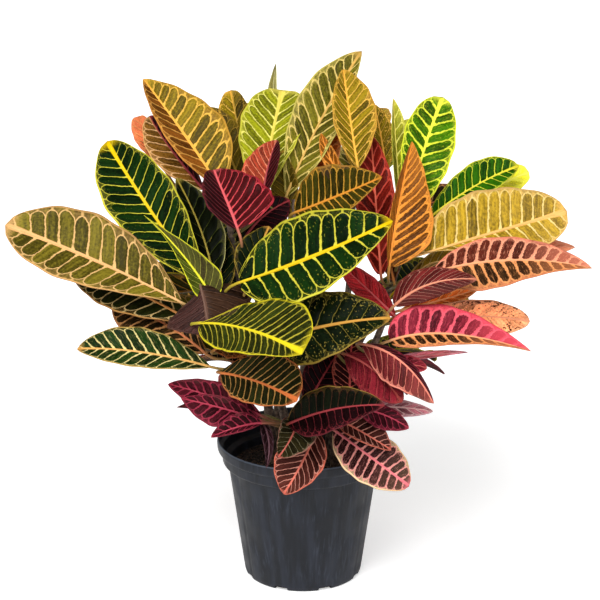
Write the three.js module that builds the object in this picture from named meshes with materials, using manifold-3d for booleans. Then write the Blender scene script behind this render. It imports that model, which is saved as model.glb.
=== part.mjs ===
// A potted croton: a grower's plastic pot, its potting soil and eight leafy stems.
// Millimetres, +Z up, origin under the middle of the pot, on the surface that it stands on.
// The viewer is in front, towards -Y, and +X is to the viewer's right.

import * as THREE from "three";
import { mergeVertices } from "three/addons/utils/BufferGeometryUtils.js";
import Module from "manifold-3d";

const wasm = await Module();
wasm.setup();

// Driving dimensions of the pot and its soil.
const POT_HEIGHT = 208;
const RIM_RADIUS = 125;
const RIM_BAND = 16;
const LEDGE_RADIUS = 117;
const LEDGE_BAND = 20;
const BODY_TOP_RADIUS = 109;
const FOOT_RADIUS = 83;
const FLOOR_TOP = 3;
const WALL = 2;
const POT_SIDES = 36;
const FLUTE_SPACING = 3;
const FLUTE_DEPTH = 0.9;
const DRAIN_SLOTS = 8;
const DRAIN_SLOT_LENGTH = 32;
const DRAIN_SLOT_WIDTH = 20;
const DRAIN_SLOT_HEIGHT = 6;
const SOIL_TOP = 168;
const SOIL_SIDES = 24;
const SOIL_LUMPS = 2.2;
const GAP = 0.35;

// Driving dimensions of the plant.
const BLADE_THICKNESS = 1;
const BLADE_STATIONS = [0.04, 0.18, 0.38, 0.6, 0.82, 1];
const SMALL_BLADE_STATIONS = [0.04, 0.27, 0.58, 0.84, 1];
const SMALL_BLADE = 130;
const EDGE_WAVE = 3;
const LEAN_BACK = 0.35;
const STALK_RADIUS = 2.6;
const STALK_SIDES = 3;
const STALK_SLOPE = 0.5;
const STALK_BEND = 0.45;
const STALK_UNDER_BLADE = 0.12;
const STEM_ROOT_RADIUS = 7;
const STEM_TIP_RADIUS = 3.4;
const STEM_SIDES = 7;
const STEM_STEPS = 8;
const ROOT_DEPTH = 70;
const FAR_STALK = { out: 26, up: 14 };
const FAR_BLADE = { middle: 0.52, facingOut: -0.35, fold: 14, belly: 0.48, baseTaper: 0.8, tipTaper: 0.65 };

// Where a photograph of the plant was taken from. Places in it are pixels of its 600 x 600 frame.
const VIEWER = {
  pitch: THREE.MathUtils.degToRad(18.5),
  distance: 3600,
  focalPixels: 2523,
  centrePixel: [300, 300],
  target: new THREE.Vector3(-4.4, 0, 418),
};
const VIEW_RIGHT = new THREE.Vector3(1, 0, 0);
const VIEW_UP = new THREE.Vector3(0, Math.sin(VIEWER.pitch), Math.cos(VIEWER.pitch));
const TO_VIEWER = new THREE.Vector3(0, -Math.cos(VIEWER.pitch), Math.sin(VIEWER.pitch));

// The point seen at pixel (x, y), near millimetres nearer to the viewer than the pot's axis.
function seen([x, y, near]) {
  const scale = VIEWER.focalPixels / (VIEWER.distance - near);
  return VIEWER.target
    .clone()
    .addScaledVector(VIEW_RIGHT, (x - VIEWER.centrePixel[0]) / scale)
    .addScaledVector(VIEW_UP, (VIEWER.centrePixel[1] - y) / scale)
    .addScaledVector(TO_VIEWER, near);
}

// Stems: where each leaves the soil in millimetres, then pixel x, pixel y and nearness on its way up.
const STEMS = {
  left: [[-12, -34], [280, 402, 0], [253, 350, 34], [222, 306, 44], [211, 280, 46]],
  top_left: [[-44, 4], [262, 360, -50], [240, 280, -8], [231, 235, 10], [226, 205, 2]],
  top: [[0, 34], [304, 350, -60], [298, 270, -20], [295, 225, 0], [294, 200, -8]],
  right: [[42, 10], [350, 360, -40], [384, 300, 0], [399, 262, 20], [404, 222, 6]],
  lower_right: [[46, -38], [346, 405, 10], [364, 365, 40], [382, 326, 58], [388, 308, 62]],
  front: [[0, -68], [297, 440, -10], [298, 425, 20], [300, 410, 36]],
  back_left: [[-40, 52], [278, 380, -120], [262, 320, -140], [250, 250, -160], [246, 176, -176]],
  back_right: [[40, 58], [330, 380, -120], [344, 320, -140], [352, 250, -160], [352, 180, -176]],
};

// Leaves seen from the front, under the name of their stem. Each row holds the leaf's name, then its
// base, middle and tip as pixel x, pixel y and nearness. Then come its left and right halves, looked
// at from base to tip: how many pixels each would reach at the base and at the tip, and how much
// nearer its edge lies than the midrib. The last three shape the outline, in hundredths: the share
// of the length where it is widest, how slender the base is and how slender the tip is. All lean
// back, so that the higher edge lies further away.
const LEAVES = {
  left: [
    ["olive", [182, 303, 85], [98, 262, 74], [5, 225, 60], [15, 38, 22], [38, 48, 14], 56, 80, 60],
    ["dark_under_olive", [192, 322, 58], [130, 290, 40], [72, 274, 22], [22, 26, 10], [24, 20, 6], 52, 80, 70],
    ["orange_ribbed", [206, 354, 48], [158, 320, 32], [112, 304, 16], [24, 30, 10], [22, 22, 6], 55, 80, 60],
    ["green_low", [211, 367, 60], [140, 352, 70], [77, 349, 72], [14, 15, 14], [23, 26, 10], 52, 80, 75],
    ["green_tall", [203, 283, 62], [149, 208, 42], [107, 141, 18], [33, 37, 14], [36, 31, 22], 57, 85, 60],
    ["green_arched", [214, 282, 36], [201, 231, 12], [176, 178, -20], [14, 12, 16], [24, 22, 16], 50, 80, 70],
    ["yellow_curled", [214, 300, 92], [182, 254, 104], [144, 215, 112], [16, 0, 6], [23, 10, 22], 20, 70, 140],
    ["maroon_back", [200, 285, 98], [206, 311, 114], [209, 336, 122], [64, 18, -14], [8, 70, -14], 45, 50, 99],
    ["green_front", [238, 283, 112], [316, 255, 144], [393, 221, 172], [45, 43, 12], [46, 26, 18], 45, 65, 70],
    ["yellow_front", [199, 323, 134], [250, 330, 196], [302, 354, 276], [2, 60, 14], [34, 20, 22], 64, 60, 46],
    ["orange_low", [221, 373, 82], [258, 382, 135], [297, 401, 185], [22, 40, 14], [26, 20, 16], 62, 70, 44],
    ["green_broad", [255, 346, 92], [325, 326, 122], [391, 318, 146], [36, 34, 8], [41, 22, 12], 45, 65, 70],
    ["dark_inner", [247, 286, 96], [257, 256, 92], [269, 226, 84], [24, 20, 6], [24, 22, 6], 50, 80, 70],
    ["dark_gap", [222, 298, 22], [220, 262, 18], [219, 228, 14], [14, 14, 6], [16, 16, 6], 50, 80, 70],
    ["dark_low", [214, 350, 70], [238, 342, 92], [268, 345, 112], [16, 18, 6], [14, 16, 8], 50, 80, 70],
  ],
  top_left: [
    ["gold_tall", [222, 190, 10], [180, 129, -25], [143, 79, -62], [19, 13, 30], [49, 30, 10], 42, 80, 75],
    ["brown_half", [204, 190, -25], [173, 152, -55], [149, 116, -88], [19, 22, 10], [14, 14, 20], 50, 80, 60],
    ["orange_stub", [160, 162, -80], [148, 139, -94], [139, 116, -110], [11, 13, 8], [12, 10, 8], 55, 70, 38],
    ["dark_behind", [240, 182, -60], [224, 142, -88], [207, 107, -114], [22, 20, 8], [20, 22, 8], 50, 80, 70],
    ["olive_small", [246, 176, -74], [239, 134, -100], [231, 90, -126], [15, 19, 8], [16, 16, 8], 58, 80, 45],
    ["crimson_wide", [238, 230, 96], [226, 200, 58], [213, 170, 22], [20, 18, 34], [51, 34, 12], 32, 50, 56],
    ["salmon_up", [262, 202, 34], [268, 167, 20], [277, 140, 4], [29, 18, 10], [9, 11, 26], 40, 80, 75],
    ["dark_shade", [245, 304, -24], [242, 264, -38], [240, 226, -52], [16, 16, 6], [18, 18, 6], 50, 80, 70],
    ["maroon_inner", [246, 236, 20], [265, 215, 12], [290, 200, 2], [18, 16, 6], [24, 19, 8], 50, 80, 70],
  ],
  top: [
    ["lime", [264, 196, 0], [271, 142, -58], [283, 90, -112], [34, 34, 10], [24, 32, 22], 62, 80, 38],
    ["edge_on", [278, 150, -128], [273, 104, -142], [276, 63, -158], [9, 4, 24], [4, 5, 22], 40, 80, 80],
    ["olive_inner", [292, 214, -12], [285, 184, -26], [283, 150, -36], [16, 14, 6], [14, 12, 6], 50, 80, 70],
    ["pale_high", [286, 197, -18], [318, 126, -52], [362, 51, -86], [22, 38, 12], [26, 14, 16], 55, 80, 75],
    ["orange_high", [358, 168, 36], [350, 118, -6], [343, 69, -50], [20, 14, 18], [26, 28, 12], 50, 75, 75],
    ["dark_spotted", [386, 172, -44], [381, 136, -66], [374, 104, -88], [12, 12, 6], [14, 12, 6], 50, 80, 70],
    ["orange_point", [346, 188, -10], [331, 160, -22], [321, 133, -34], [8, 8, 5], [8, 7, 5], 50, 80, 80],
    ["maroon_behind", [308, 190, -50], [321, 150, -70], [333, 107, -90], [18, 16, 8], [20, 18, 8], 50, 80, 70],
    ["orange_side", [294, 213, 30], [338, 196, 64], [382, 177, 96], [38, 30, 14], [24, 16, 8], 42, 70, 75],
  ],
  right: [
    ["orange_upright", [389, 268, 74], [399, 204, 40], [412, 141, 4], [8, 7, 26], [41, 30, 10], 30, 75, 80],
    ["bright_upright", [408, 222, 10], [421, 160, -20], [443, 97, -48], [15, 30, 12], [33, 25, 14], 62, 80, 50],
    ["lime_narrow", [402, 226, -16], [397, 160, -32], [393, 98, -46], [6, 4, 22], [12, 15, 8], 55, 70, 80],
    ["red_upright", [381, 276, 40], [376, 204, 12], [371, 134, -16], [24, 18, 12], [20, 18, 14], 56, 60, 80],
    ["green_right", [425, 222, -12], [470, 189, -16], [519, 166, -18], [17, 25, 10], [14, 12, 12], 60, 80, 60],
    ["yellow_tip", [455, 216, -52], [492, 190, -56], [529, 172, -60], [15, 18, 8], [12, 14, 8], 60, 80, 40],
    ["golden", [412, 257, 62], [490, 234, 56], [567, 211, 46], [48, 42, 12], [-6, 44, 10], 50, 70, 50],
    ["salmon_long", [432, 273, 88], [510, 260, 82], [592, 268, 72], [25, 22, 14], [39, 8, 12], 42, 70, 75],
    ["salmon_tip", [480, 256, 15], [530, 249, 12], [575, 247, 8], [11, 10, 14], [10, 9, 14], 50, 80, 80],
    ["rust_gap", [394, 282, 32], [388, 250, 14], [384, 216, -4], [11, 11, 6], [11, 11, 6], 50, 80, 70],
  ],
  lower_right: [
    ["pink_long", [389, 341, 104], [450, 334, 98], [531, 351, 88], [36, 20, 10], [18, 3, 12], 44, 50, 80],
    ["peach_spotted", [398, 322, 66], [465, 316, 52], [530, 321, 38], [15, 18, 12], [22, 18, 12], 60, 80, 55],
    ["peach_strip", [398, 311, 44], [438, 301, 32], [478, 289, 18], [8, 8, 5], [9, 8, 5], 50, 80, 70],
    ["rose_arched", [394, 306, 106], [430, 284, 122], [477, 279, 128], [20, 14, -8], [14, 16, -16], 40, 60, 70],
    ["crimson_back", [396, 317, 72], [368, 290, 58], [340, 264, 44], [12, 12, 10], [14, 13, 10], 50, 80, 70],
    ["red_drooping", [362, 344, 98], [402, 362, 136], [434, 403, 142], [7, 6, -10], [27, 25, -14], 45, 70, 70],
    ["pink_edge_on", [380, 362, 20], [430, 355, 15], [468, 352, 10], [5, 4, 3], [3, 2, 3], 40, 80, 80],
    ["pink_cell", [385, 365, 50], [406, 364, 48], [427, 368, 45], [9, 9, 6], [8, 8, 6], 50, 80, 60],
    ["dark_cell", [372, 364, 70], [392, 373, 72], [412, 383, 74], [12, 12, 5], [12, 8, 5], 50, 80, 60],
    ["crimson_plain", [345, 354, 92], [376, 372, 106], [402, 402, 114], [12, 14, 8], [24, 22, 10], 55, 70, 55],
    ["grey_pink", [350, 407, 55], [392, 407, 56], [433, 411, 52], [9, 8, 12], [9, 9, 12], 50, 80, 70],
    ["maroon_striped", [350, 402, 62], [350, 370, 52], [352, 338, 42], [20, 16, 10], [26, 24, 10], 50, 70, 60],
  ],
  front: [
    ["maroon_broad", [288, 424, 95], [335, 409, 135], [385, 405, 165], [26, 22, 10], [24, 16, 14], 42, 70, 70],
    ["dark_up", [308, 404, 40], [322, 378, 35], [340, 350, 25], [20, 20, 6], [22, 20, 6], 50, 70, 60],
    ["crimson_side", [355, 408, 92], [382, 414, 98], [409, 428, 102], [8, 10, 5], [14, 14, 5], 55, 80, 70],
    ["rust_side", [333, 417, 70], [362, 432, 92], [391, 450, 104], [20, 18, 6], [10, 8, 8], 50, 70, 70],
    ["pink_rimmed", [334, 430, 52], [372, 458, 72], [409, 486, 76], [24, 28, 12], [27, 24, 16], 50, 70, 60],
    ["red_over_rim", [316, 432, 58], [301, 465, 78], [284, 494, 80], [26, 14, 12], [28, 28, 16], 50, 65, 70],
    ["green_mottled", [298, 418, 66], [291, 438, 96], [278, 457, 112], [26, 18, 14], [18, 14, 18], 45, 70, 65],
    ["purple_folded", [262, 421, 56], [269, 443, 76], [266, 468, 84], [6, 4, 12], [7, 5, 12], 45, 80, 80],
    ["crimson_left", [262, 416, 55], [213, 397, 52], [168, 384, 46], [21, 13, 12], [18, 14, 10], 50, 80, 75],
    ["crimson_second", [262, 421, 68], [225, 409, 70], [181, 398, 66], [16, 21, 8], [12, 12, 8], 56, 80, 90],
    ["crimson_third", [262, 423, 82], [238, 427, 88], [211, 437, 92], [5, 5, 8], [17, 11, 8], 50, 80, 70],
    ["maroon_left", [240, 410, 32], [210, 405, 28], [177, 407, 24], [5, 4, 8], [6, 6, 8], 50, 80, 90],
  ],
};

// Other leaves, under the name of their stem. Each row holds the height in millimetres that its
// stalk leaves the stem at, then its heading (0 is right, 90 is away from the viewer), rise, length,
// width and droop of the tip. Degrees and millimetres.
const FAR_LEAVES = {
  back_left: [
    [236, 118, -8, 150, 70, 40],
    [258, 136, 4, 150, 78, 32],
    [300, 88, 6, 175, 78, 40],
    [330, 146, 10, 195, 86, 46],
    [362, 196, 12, 195, 86, 46],
    [402, 112, 20, 195, 88, 48],
    [440, 162, 26, 205, 90, 44],
    [478, 96, 24, 190, 86, 40],
    [508, 142, 34, 195, 86, 34],
    [526, 96, 34, 170, 78, 26],
  ],
  back_right: [
    [240, 48, -6, 155, 72, 40],
    [268, 22, 2, 160, 74, 36],
    [306, 74, 8, 180, 80, 42],
    [338, 30, 12, 180, 86, 46],
    [372, -12, 12, 160, 84, 38],
    [410, 58, 22, 200, 88, 46],
    [446, 12, 24, 200, 88, 42],
    [482, 80, 26, 190, 86, 40],
    [508, 36, 34, 190, 84, 34],
    [524, 76, 34, 165, 76, 26],
  ],
  top_left: [
    [300, 150, 0, 150, 70, 34],
    [372, 182, 8, 150, 70, 34],
    [410, 165, 14, 155, 72, 34],
    [450, 120, 20, 140, 66, 28],
  ],
  top: [
    [366, 100, 8, 110, 56, 24],
    [412, 80, 14, 120, 60, 26],
  ],
  right: [
    [300, 40, 0, 150, 70, 34],
    [366, -12, 10, 140, 66, 28],
    [400, 50, 14, 150, 70, 32],
    [440, 0, 22, 150, 70, 30],
  ],
  left: [
    [312, 154, 8, 96, 56, 20],
    [330, 165, 6, 140, 66, 30],
  ],
  lower_right: [
    [250, 52, 0, 105, 56, 28],
    [300, 44, 6, 110, 56, 26],
  ],
};

// How far a blade's edge reaches at a share of its length, as a share of its full reach.
function outlineAt(leaf, share) {
  const { belly, baseTaper, tipTaper } = leaf;
  if (share < belly) return Math.pow(Math.sin((Math.PI / 2) * (share / belly)), baseTaper);
  return Math.pow(Math.sin((Math.PI / 2) * ((1 - share) / (1 - belly))), tipTaper);
}

// The midrib's point at a share of the leaf's length, and the directions of its two halves there.
function leafFrame(leaf, share) {
  const point = leaf.midrib.getPoint(share);
  const along = leaf.midrib.getTangent(share);
  const side = leaf.facing.clone().cross(along).normalize();
  const out = along.clone().cross(side).normalize();
  const reach = Math.max(outlineAt(leaf, share), 0.001);
  const halves = [leaf.left, leaf.right].map(([atBase, atTip, near], hand) => {
    const sign = hand === 0 ? 1 : -1;
    const across = reach * THREE.MathUtils.lerp(atBase, atTip, share) * leaf.pixel;
    const wave = EDGE_WAVE * Math.sin(Math.PI * share) * Math.sin(leaf.phase + sign + 10 * share);
    const leanBack = leaf.leanBack * sign * across * side.dot(VIEW_UP);
    const towards = reach * near + wave - leanBack;
    const edge = side.clone().multiplyScalar(sign * across).addScaledVector(out, towards);
    const normal = out.clone().multiplyScalar(across).addScaledVector(side, -sign * towards).normalize();
    return { edge, normal };
  });
  return { point, halves };
}

// A closed solid from its points and its outward triangles.
function solidFrom(points, triangles) {
  const vertProperties = new Float32Array(points.flatMap((p) => [p.x, p.y, p.z]));
  const triVerts = new Uint32Array(triangles.flat());
  return new wasm.Manifold(new wasm.Mesh({ numProp: 3, vertProperties, triVerts }));
}

// A solid from one of the geometry classes: its points are shared, and triangles without area go.
function solidOf(geometry) {
  geometry.deleteAttribute("normal");
  geometry.deleteAttribute("uv");
  const shared = mergeVertices(geometry);
  const corners = shared.index.array;
  const triVerts = [];
  for (let i = 0; i < corners.length; i += 3) {
    const triangle = corners.slice(i, i + 3);
    if (new Set(triangle).size === 3) triVerts.push(...triangle);
  }
  const vertProperties = shared.attributes.position.array;
  const mesh = new wasm.Mesh({ numProp: 3, vertProperties, triVerts: new Uint32Array(triVerts) });
  return new wasm.Manifold(mesh);
}

// A body turned about the upright axis from its profile of radii and heights.
function turned(profile, sides) {
  const outline = profile.map(([radius, height]) => new THREE.Vector2(radius, height));
  return new THREE.LatheGeometry(outline, sides).rotateX(Math.PI / 2);
}

// Moves every point of a geometry by a function of it.
function reshape(geometry, move) {
  const places = geometry.attributes.position;
  const point = new THREE.Vector3();
  for (let i = 0; i < places.count; i++) {
    move(point.fromBufferAttribute(places, i));
    places.setXYZ(i, point.x, point.y, point.z);
  }
  return geometry;
}

// A blade: two halves hinged at the midrib, with the same triangles on both faces.
function bladeSolid(leaf) {
  const points = [];
  const addPair = (at, normal) => {
    points.push(at.clone().addScaledVector(normal, BLADE_THICKNESS / 2));
    points.push(at.clone().addScaledVector(normal, -BLADE_THICKNESS / 2));
    return points.length - 2;
  };
  const stations = leaf.midrib.getLength() < SMALL_BLADE ? SMALL_BLADE_STATIONS : BLADE_STATIONS;
  const rows = stations.map((share) => {
    const { point, halves } = leafFrame(leaf, share);
    const [left, right] = halves;
    const middle = left.normal.clone().add(right.normal).normalize();
    if (share === 1) return [addPair(point, middle)];
    return [
      addPair(point.clone().add(left.edge), left.normal),
      addPair(point, middle),
      addPair(point.clone().add(right.edge), right.normal),
    ];
  });
  const triangles = [];
  const bothFaces = (a, b, c) => triangles.push([a, b, c], [c + 1, b + 1, a + 1]);
  const rim = (a, b) => triangles.push([a, a + 1, b + 1], [a, b + 1, b]);
  for (let i = 0; i < rows.length - 1; i++) {
    const [left, middle, right] = rows[i];
    const next = rows[i + 1];
    if (next.length === 1) {
      bothFaces(left, middle, next[0]);
      bothFaces(middle, right, next[0]);
      rim(right, next[0]);
      rim(next[0], left);
    } else {
      bothFaces(left, middle, next[1]);
      bothFaces(left, next[1], next[0]);
      bothFaces(middle, right, next[1]);
      bothFaces(right, next[2], next[1]);
      rim(right, next[2]);
      rim(next[0], left);
    }
  }
  rim(rows[0][1], rows[0][2]);
  rim(rows[0][0], rows[0][1]);
  return solidFrom(points, triangles);
}

// A round bar through the points of a path, with a radius at each.
function barSolid(path, radii, sides) {
  const last = path.length - 1;
  const points = [];
  let across = new THREE.Vector3(1, 0, 0);
  path.forEach((centre, i) => {
    const along = path[Math.min(i + 1, last)].clone().sub(path[Math.max(i - 1, 0)]).normalize();
    across = across.clone().addScaledVector(along, -across.dot(along)).normalize();
    const other = along.clone().cross(across);
    for (let j = 0; j < sides; j++) {
      const angle = (2 * Math.PI * j) / sides;
      const spoke = across.clone().multiplyScalar(Math.cos(angle)).addScaledVector(other, Math.sin(angle));
      points.push(centre.clone().addScaledVector(spoke, radii[i]));
    }
  });
  const triangles = [];
  for (let i = 0; i < last; i++) {
    for (let j = 0; j < sides; j++) {
      const a = i * sides + j;
      const b = i * sides + ((j + 1) % sides);
      triangles.push([a, b, b + sides], [a, b + sides, a + sides]);
    }
  }
  for (let j = 1; j < sides - 1; j++) {
    const end = last * sides;
    triangles.push([0, j + 1, j], [end, end + j, end + j + 1]);
  }
  return solidFrom(points, triangles);
}

// A stem's path: straight down in the soil, and a smooth curve above it.
function stemPath([[x, y], ...places]) {
  const at = (z) => new THREE.Vector3(x, y, z);
  const collar = at(SOIL_TOP + 16);
  const curve = new THREE.CatmullRomCurve3([collar, ...places.map(seen)], false, "centripetal");
  return [at(SOIL_TOP - ROOT_DEPTH), at(SOIL_TOP + 8), ...curve.getPoints(STEM_STEPS)];
}

const stemPaths = Object.fromEntries(Object.entries(STEMS).map(([name, stem]) => [name, stemPath(stem)]));

function stemSolid(path) {
  const last = path.length - 1;
  const radii = path.map((_, i) =>
    i < 2 ? STEM_ROOT_RADIUS : THREE.MathUtils.lerp(STEM_ROOT_RADIUS, STEM_TIP_RADIUS, (i - 2) / (last - 2)),
  );
  return barSolid(path, radii, STEM_SIDES);
}

// The point of a stem's middle line at a height.
function stemAt(path, height) {
  const i = Math.max(path.findIndex((p) => p.z > height), 1);
  const [low, high] = [path[i - 1], path[i]];
  return low.clone().lerp(high, (height - low.z) / (high.z - low.z));
}

// Where a leaf's stalk leaves its stem: lower than the leaf's base, the more so the further it is out.
function stalkRoot(path, base) {
  const nearest = path.slice(2).reduce((a, b) => (b.distanceTo(base) < a.distanceTo(base) ? b : a));
  const lowest = path[2].z + 10;
  const highest = path.at(-1).z - 2;
  const height = nearest.z - STALK_SLOPE * nearest.distanceTo(base);
  return stemAt(path, THREE.MathUtils.clamp(height, lowest, highest));
}

function stalkSolid(leaf) {
  const path = stemPaths[leaf.stem];
  const base = leaf.midrib.getPoint(0);
  const along = leaf.midrib.getTangent(0);
  const root = leaf.root ?? stalkRoot(path, base);
  const bend = base.clone().addScaledVector(along, -STALK_BEND * root.distanceTo(base));
  const stalk = new THREE.QuadraticBezierCurve3(root, bend, base);
  const centre = [...stalk.getPoints(2), leaf.midrib.getPoint(STALK_UNDER_BLADE)];
  return barSolid(centre, centre.map(() => STALK_RADIUS), STALK_SIDES);
}

// A midrib that passes through its middle point halfway.
function midribThrough(base, middle, tip) {
  const control = middle.clone().multiplyScalar(2).addScaledVector(base, -0.5).addScaledVector(tip, -0.5);
  return new THREE.QuadraticBezierCurve3(base, control, tip);
}

function nearLeaf(stem, [name, base, middle, tip, left, right, belly, baseTaper, tipTaper], index) {
  return {
    name,
    stem,
    midrib: midribThrough(seen(base), seen(middle), seen(tip)),
    facing: TO_VIEWER,
    leanBack: LEAN_BACK,
    left,
    right,
    pixel: (VIEWER.distance - middle[2]) / VIEWER.focalPixels,
    belly: belly / 100,
    baseTaper: baseTaper / 100,
    tipTaper: tipTaper / 100,
    phase: 1.7 * index,
  };
}

function farLeaf(stem, [height, heading, rise, length, width, droop], index) {
  const turn = THREE.MathUtils.degToRad(heading);
  const lift = THREE.MathUtils.degToRad(rise);
  const out = new THREE.Vector3(Math.cos(turn), Math.sin(turn), 0);
  const along = out.clone().multiplyScalar(Math.cos(lift)).setZ(Math.sin(lift));
  const root = stemAt(stemPaths[stem], height);
  const base = root.clone().addScaledVector(out, FAR_STALK.out).setZ(root.z + FAR_STALK.up);
  const middle = base.clone().addScaledVector(along, FAR_BLADE.middle * length);
  const tip = base.clone().addScaledVector(along, length);
  tip.z -= droop;
  return {
    name: stem + "_" + index,
    stem,
    root,
    midrib: midribThrough(base, middle, tip),
    facing: out.clone().multiplyScalar(FAR_BLADE.facingOut).setZ(1).normalize(),
    leanBack: 0,
    left: [width / 2, width / 2, FAR_BLADE.fold],
    right: [width / 2, width / 2, FAR_BLADE.fold],
    pixel: 1,
    belly: FAR_BLADE.belly,
    baseTaper: FAR_BLADE.baseTaper,
    tipTaper: FAR_BLADE.tipTaper,
    phase: 2.3 * index,
  };
}

const leaves = [
  ...Object.entries(LEAVES).flatMap(([stem, rows]) => rows.map((row, i) => nearLeaf(stem, row, i))),
  ...Object.entries(FAR_LEAVES).flatMap(([stem, rows]) => rows.map((row, i) => farLeaf(stem, row, i))),
];

function leafyStemSolid(name) {
  const own = leaves.filter((leaf) => leaf.stem === name);
  const pieces = own.flatMap((leaf) => [bladeSolid(leaf), stalkSolid(leaf)]);
  return wasm.Manifold.union([stemSolid(stemPaths[name]), ...pieces]);
}

// The pot: a turned shell with a stepped rim, fine upright flutes and slots at the foot to drain it.
function potSolid() {
  const ledgeTop = POT_HEIGHT - RIM_BAND;
  const bodyTop = ledgeTop - LEDGE_BAND;
  const profile = [
    [0, 0],
    [FOOT_RADIUS - 2, 0],
    [FOOT_RADIUS + 0.8, 1.5],
    [FOOT_RADIUS + 2.4, 6],
    [FOOT_RADIUS + 3.6, 14],
    [BODY_TOP_RADIUS - 1, bodyTop - 7],
    [BODY_TOP_RADIUS, bodyTop],
    [LEDGE_RADIUS - 1.5, bodyTop + 1.5],
    [LEDGE_RADIUS, bodyTop + 4],
    [LEDGE_RADIUS + 1.2, ledgeTop - 2],
    [RIM_RADIUS - 1.6, ledgeTop + 0.6],
    [RIM_RADIUS - 0.6, ledgeTop + 3],
    [RIM_RADIUS, POT_HEIGHT - 3.5],
    [RIM_RADIUS - 0.8, POT_HEIGHT - 0.8],
    [RIM_RADIUS - 2.2, POT_HEIGHT],
    [RIM_RADIUS - 3.4, POT_HEIGHT - 1.4],
    [RIM_RADIUS - WALL - 1.4, ledgeTop + 4],
    [LEDGE_RADIUS - WALL + 1, ledgeTop + 1],
    [LEDGE_RADIUS - WALL, bodyTop + 6],
    [BODY_TOP_RADIUS - WALL, bodyTop + 3],
    [FOOT_RADIUS - 0.4, FLOOR_TOP],
    [0, FLOOR_TOP],
  ];
  const shell = reshape(turned(profile, POT_SIDES), (p) => {
    const radius = Math.hypot(p.x, p.y);
    const outside = radius > FOOT_RADIUS + 3 && p.z > 10 && p.z < bodyTop - 5;
    const side = Math.round((Math.atan2(p.y, p.x) / (2 * Math.PI)) * POT_SIDES + POT_SIDES);
    if (outside && side % FLUTE_SPACING === 0) {
      p.x *= 1 - FLUTE_DEPTH / radius;
      p.y *= 1 - FLUTE_DEPTH / radius;
    }
  });
  const slots = Array.from({ length: DRAIN_SLOTS }, (_, i) => {
    const slot = new THREE.BoxGeometry(DRAIN_SLOT_LENGTH, DRAIN_SLOT_WIDTH, DRAIN_SLOT_HEIGHT + 1);
    slot.translate(FOOT_RADIUS - 4, 0, (DRAIN_SLOT_HEIGHT - 1) / 2);
    return solidOf(slot.rotateZ(((i + 0.5) * 2 * Math.PI) / DRAIN_SLOTS));
  });
  return solidOf(shell).subtract(wasm.Manifold.union(slots));
}

// The soil: it fills the pot to below the ledge, its top is lumpy, and each stem has its own hole.
function soilSolid() {
  const bodyTop = POT_HEIGHT - RIM_BAND - LEDGE_BAND;
  const lowRadius = FOOT_RADIUS - 0.4;
  const slope = (BODY_TOP_RADIUS - WALL - lowRadius) / (bodyTop + 3 - FLOOR_TOP);
  const edgeTop = SOIL_TOP - 5;
  const bottom = FLOOR_TOP + GAP;
  const radiusAt = (z) => lowRadius + slope * (z - FLOOR_TOP) - GAP - 0.3;
  const profile = [
    [0, bottom],
    [radiusAt(bottom), bottom],
    [radiusAt(edgeTop), edgeTop],
    [88, SOIL_TOP - 2],
    [66, SOIL_TOP],
    [42, SOIL_TOP + 1],
    [18, SOIL_TOP + 2],
    [0, SOIL_TOP + 2],
  ];
  const body = reshape(turned(profile, SOIL_SIDES), (p) => {
    const lump = SOIL_LUMPS * Math.sin(0.21 * p.x + 1) * Math.sin(0.19 * p.y + 0.05 * p.x);
    if (p.z > edgeTop + 1) p.z += lump;
  });
  const holes = Object.values(stemPaths).map(([low, high]) => {
    const shaft = [low.clone().setZ(low.z - GAP), high];
    return barSolid(shaft, shaft.map(() => STEM_ROOT_RADIUS + GAP), STEM_SIDES);
  });
  return solidOf(body).subtract(wasm.Manifold.union(holes));
}

// A named mesh of a solid in its own colour.
function meshOf(name, solid, color, roughness) {
  const { numProp, vertProperties, triVerts } = solid.getMesh();
  const geometry = new THREE.BufferGeometry();
  geometry.setAttribute("position", new THREE.BufferAttribute(new Float32Array(vertProperties), numProp));
  geometry.setIndex(new THREE.BufferAttribute(new Uint32Array(triVerts), 1));
  geometry.computeVertexNormals();
  const mesh = new THREE.Mesh(geometry, new THREE.MeshStandardMaterial({ color, roughness }));
  mesh.name = name;
  return mesh;
}

const STEM_COLOURS = {
  left: 0x3f6a2a,
  top_left: 0xb08a3c,
  top: 0xa9a845,
  right: 0xc98a3e,
  lower_right: 0xb5524a,
  front: 0x6d2a2e,
  back_left: 0x557a30,
  back_right: 0x9a6a38,
};

const plant = new THREE.Group();
plant.name = "potted_croton";
plant.add(meshOf("pot", potSolid(), 0x33363d, 0.45));
plant.add(meshOf("soil", soilSolid(), 0x2a2019, 0.95));
for (const [name, color] of Object.entries(STEM_COLOURS)) {
  plant.add(meshOf("leafy_stem_" + name, leafyStemSolid(name), color, 0.4));
}

export default plant;
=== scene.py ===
# %% [markdown]
# # A potted croton
# The plant stands in a grower's plastic pot. Its broad leaves are what it is grown for: each is a
# glossy, slightly waved blade with a bold midrib and a net of bright veins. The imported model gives
# the frame, and every piece below is built in metres in that same frame.

# %% Load the frame
import math
import random

import bmesh
import bpy
from mathutils import Matrix, Vector, noise


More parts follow.
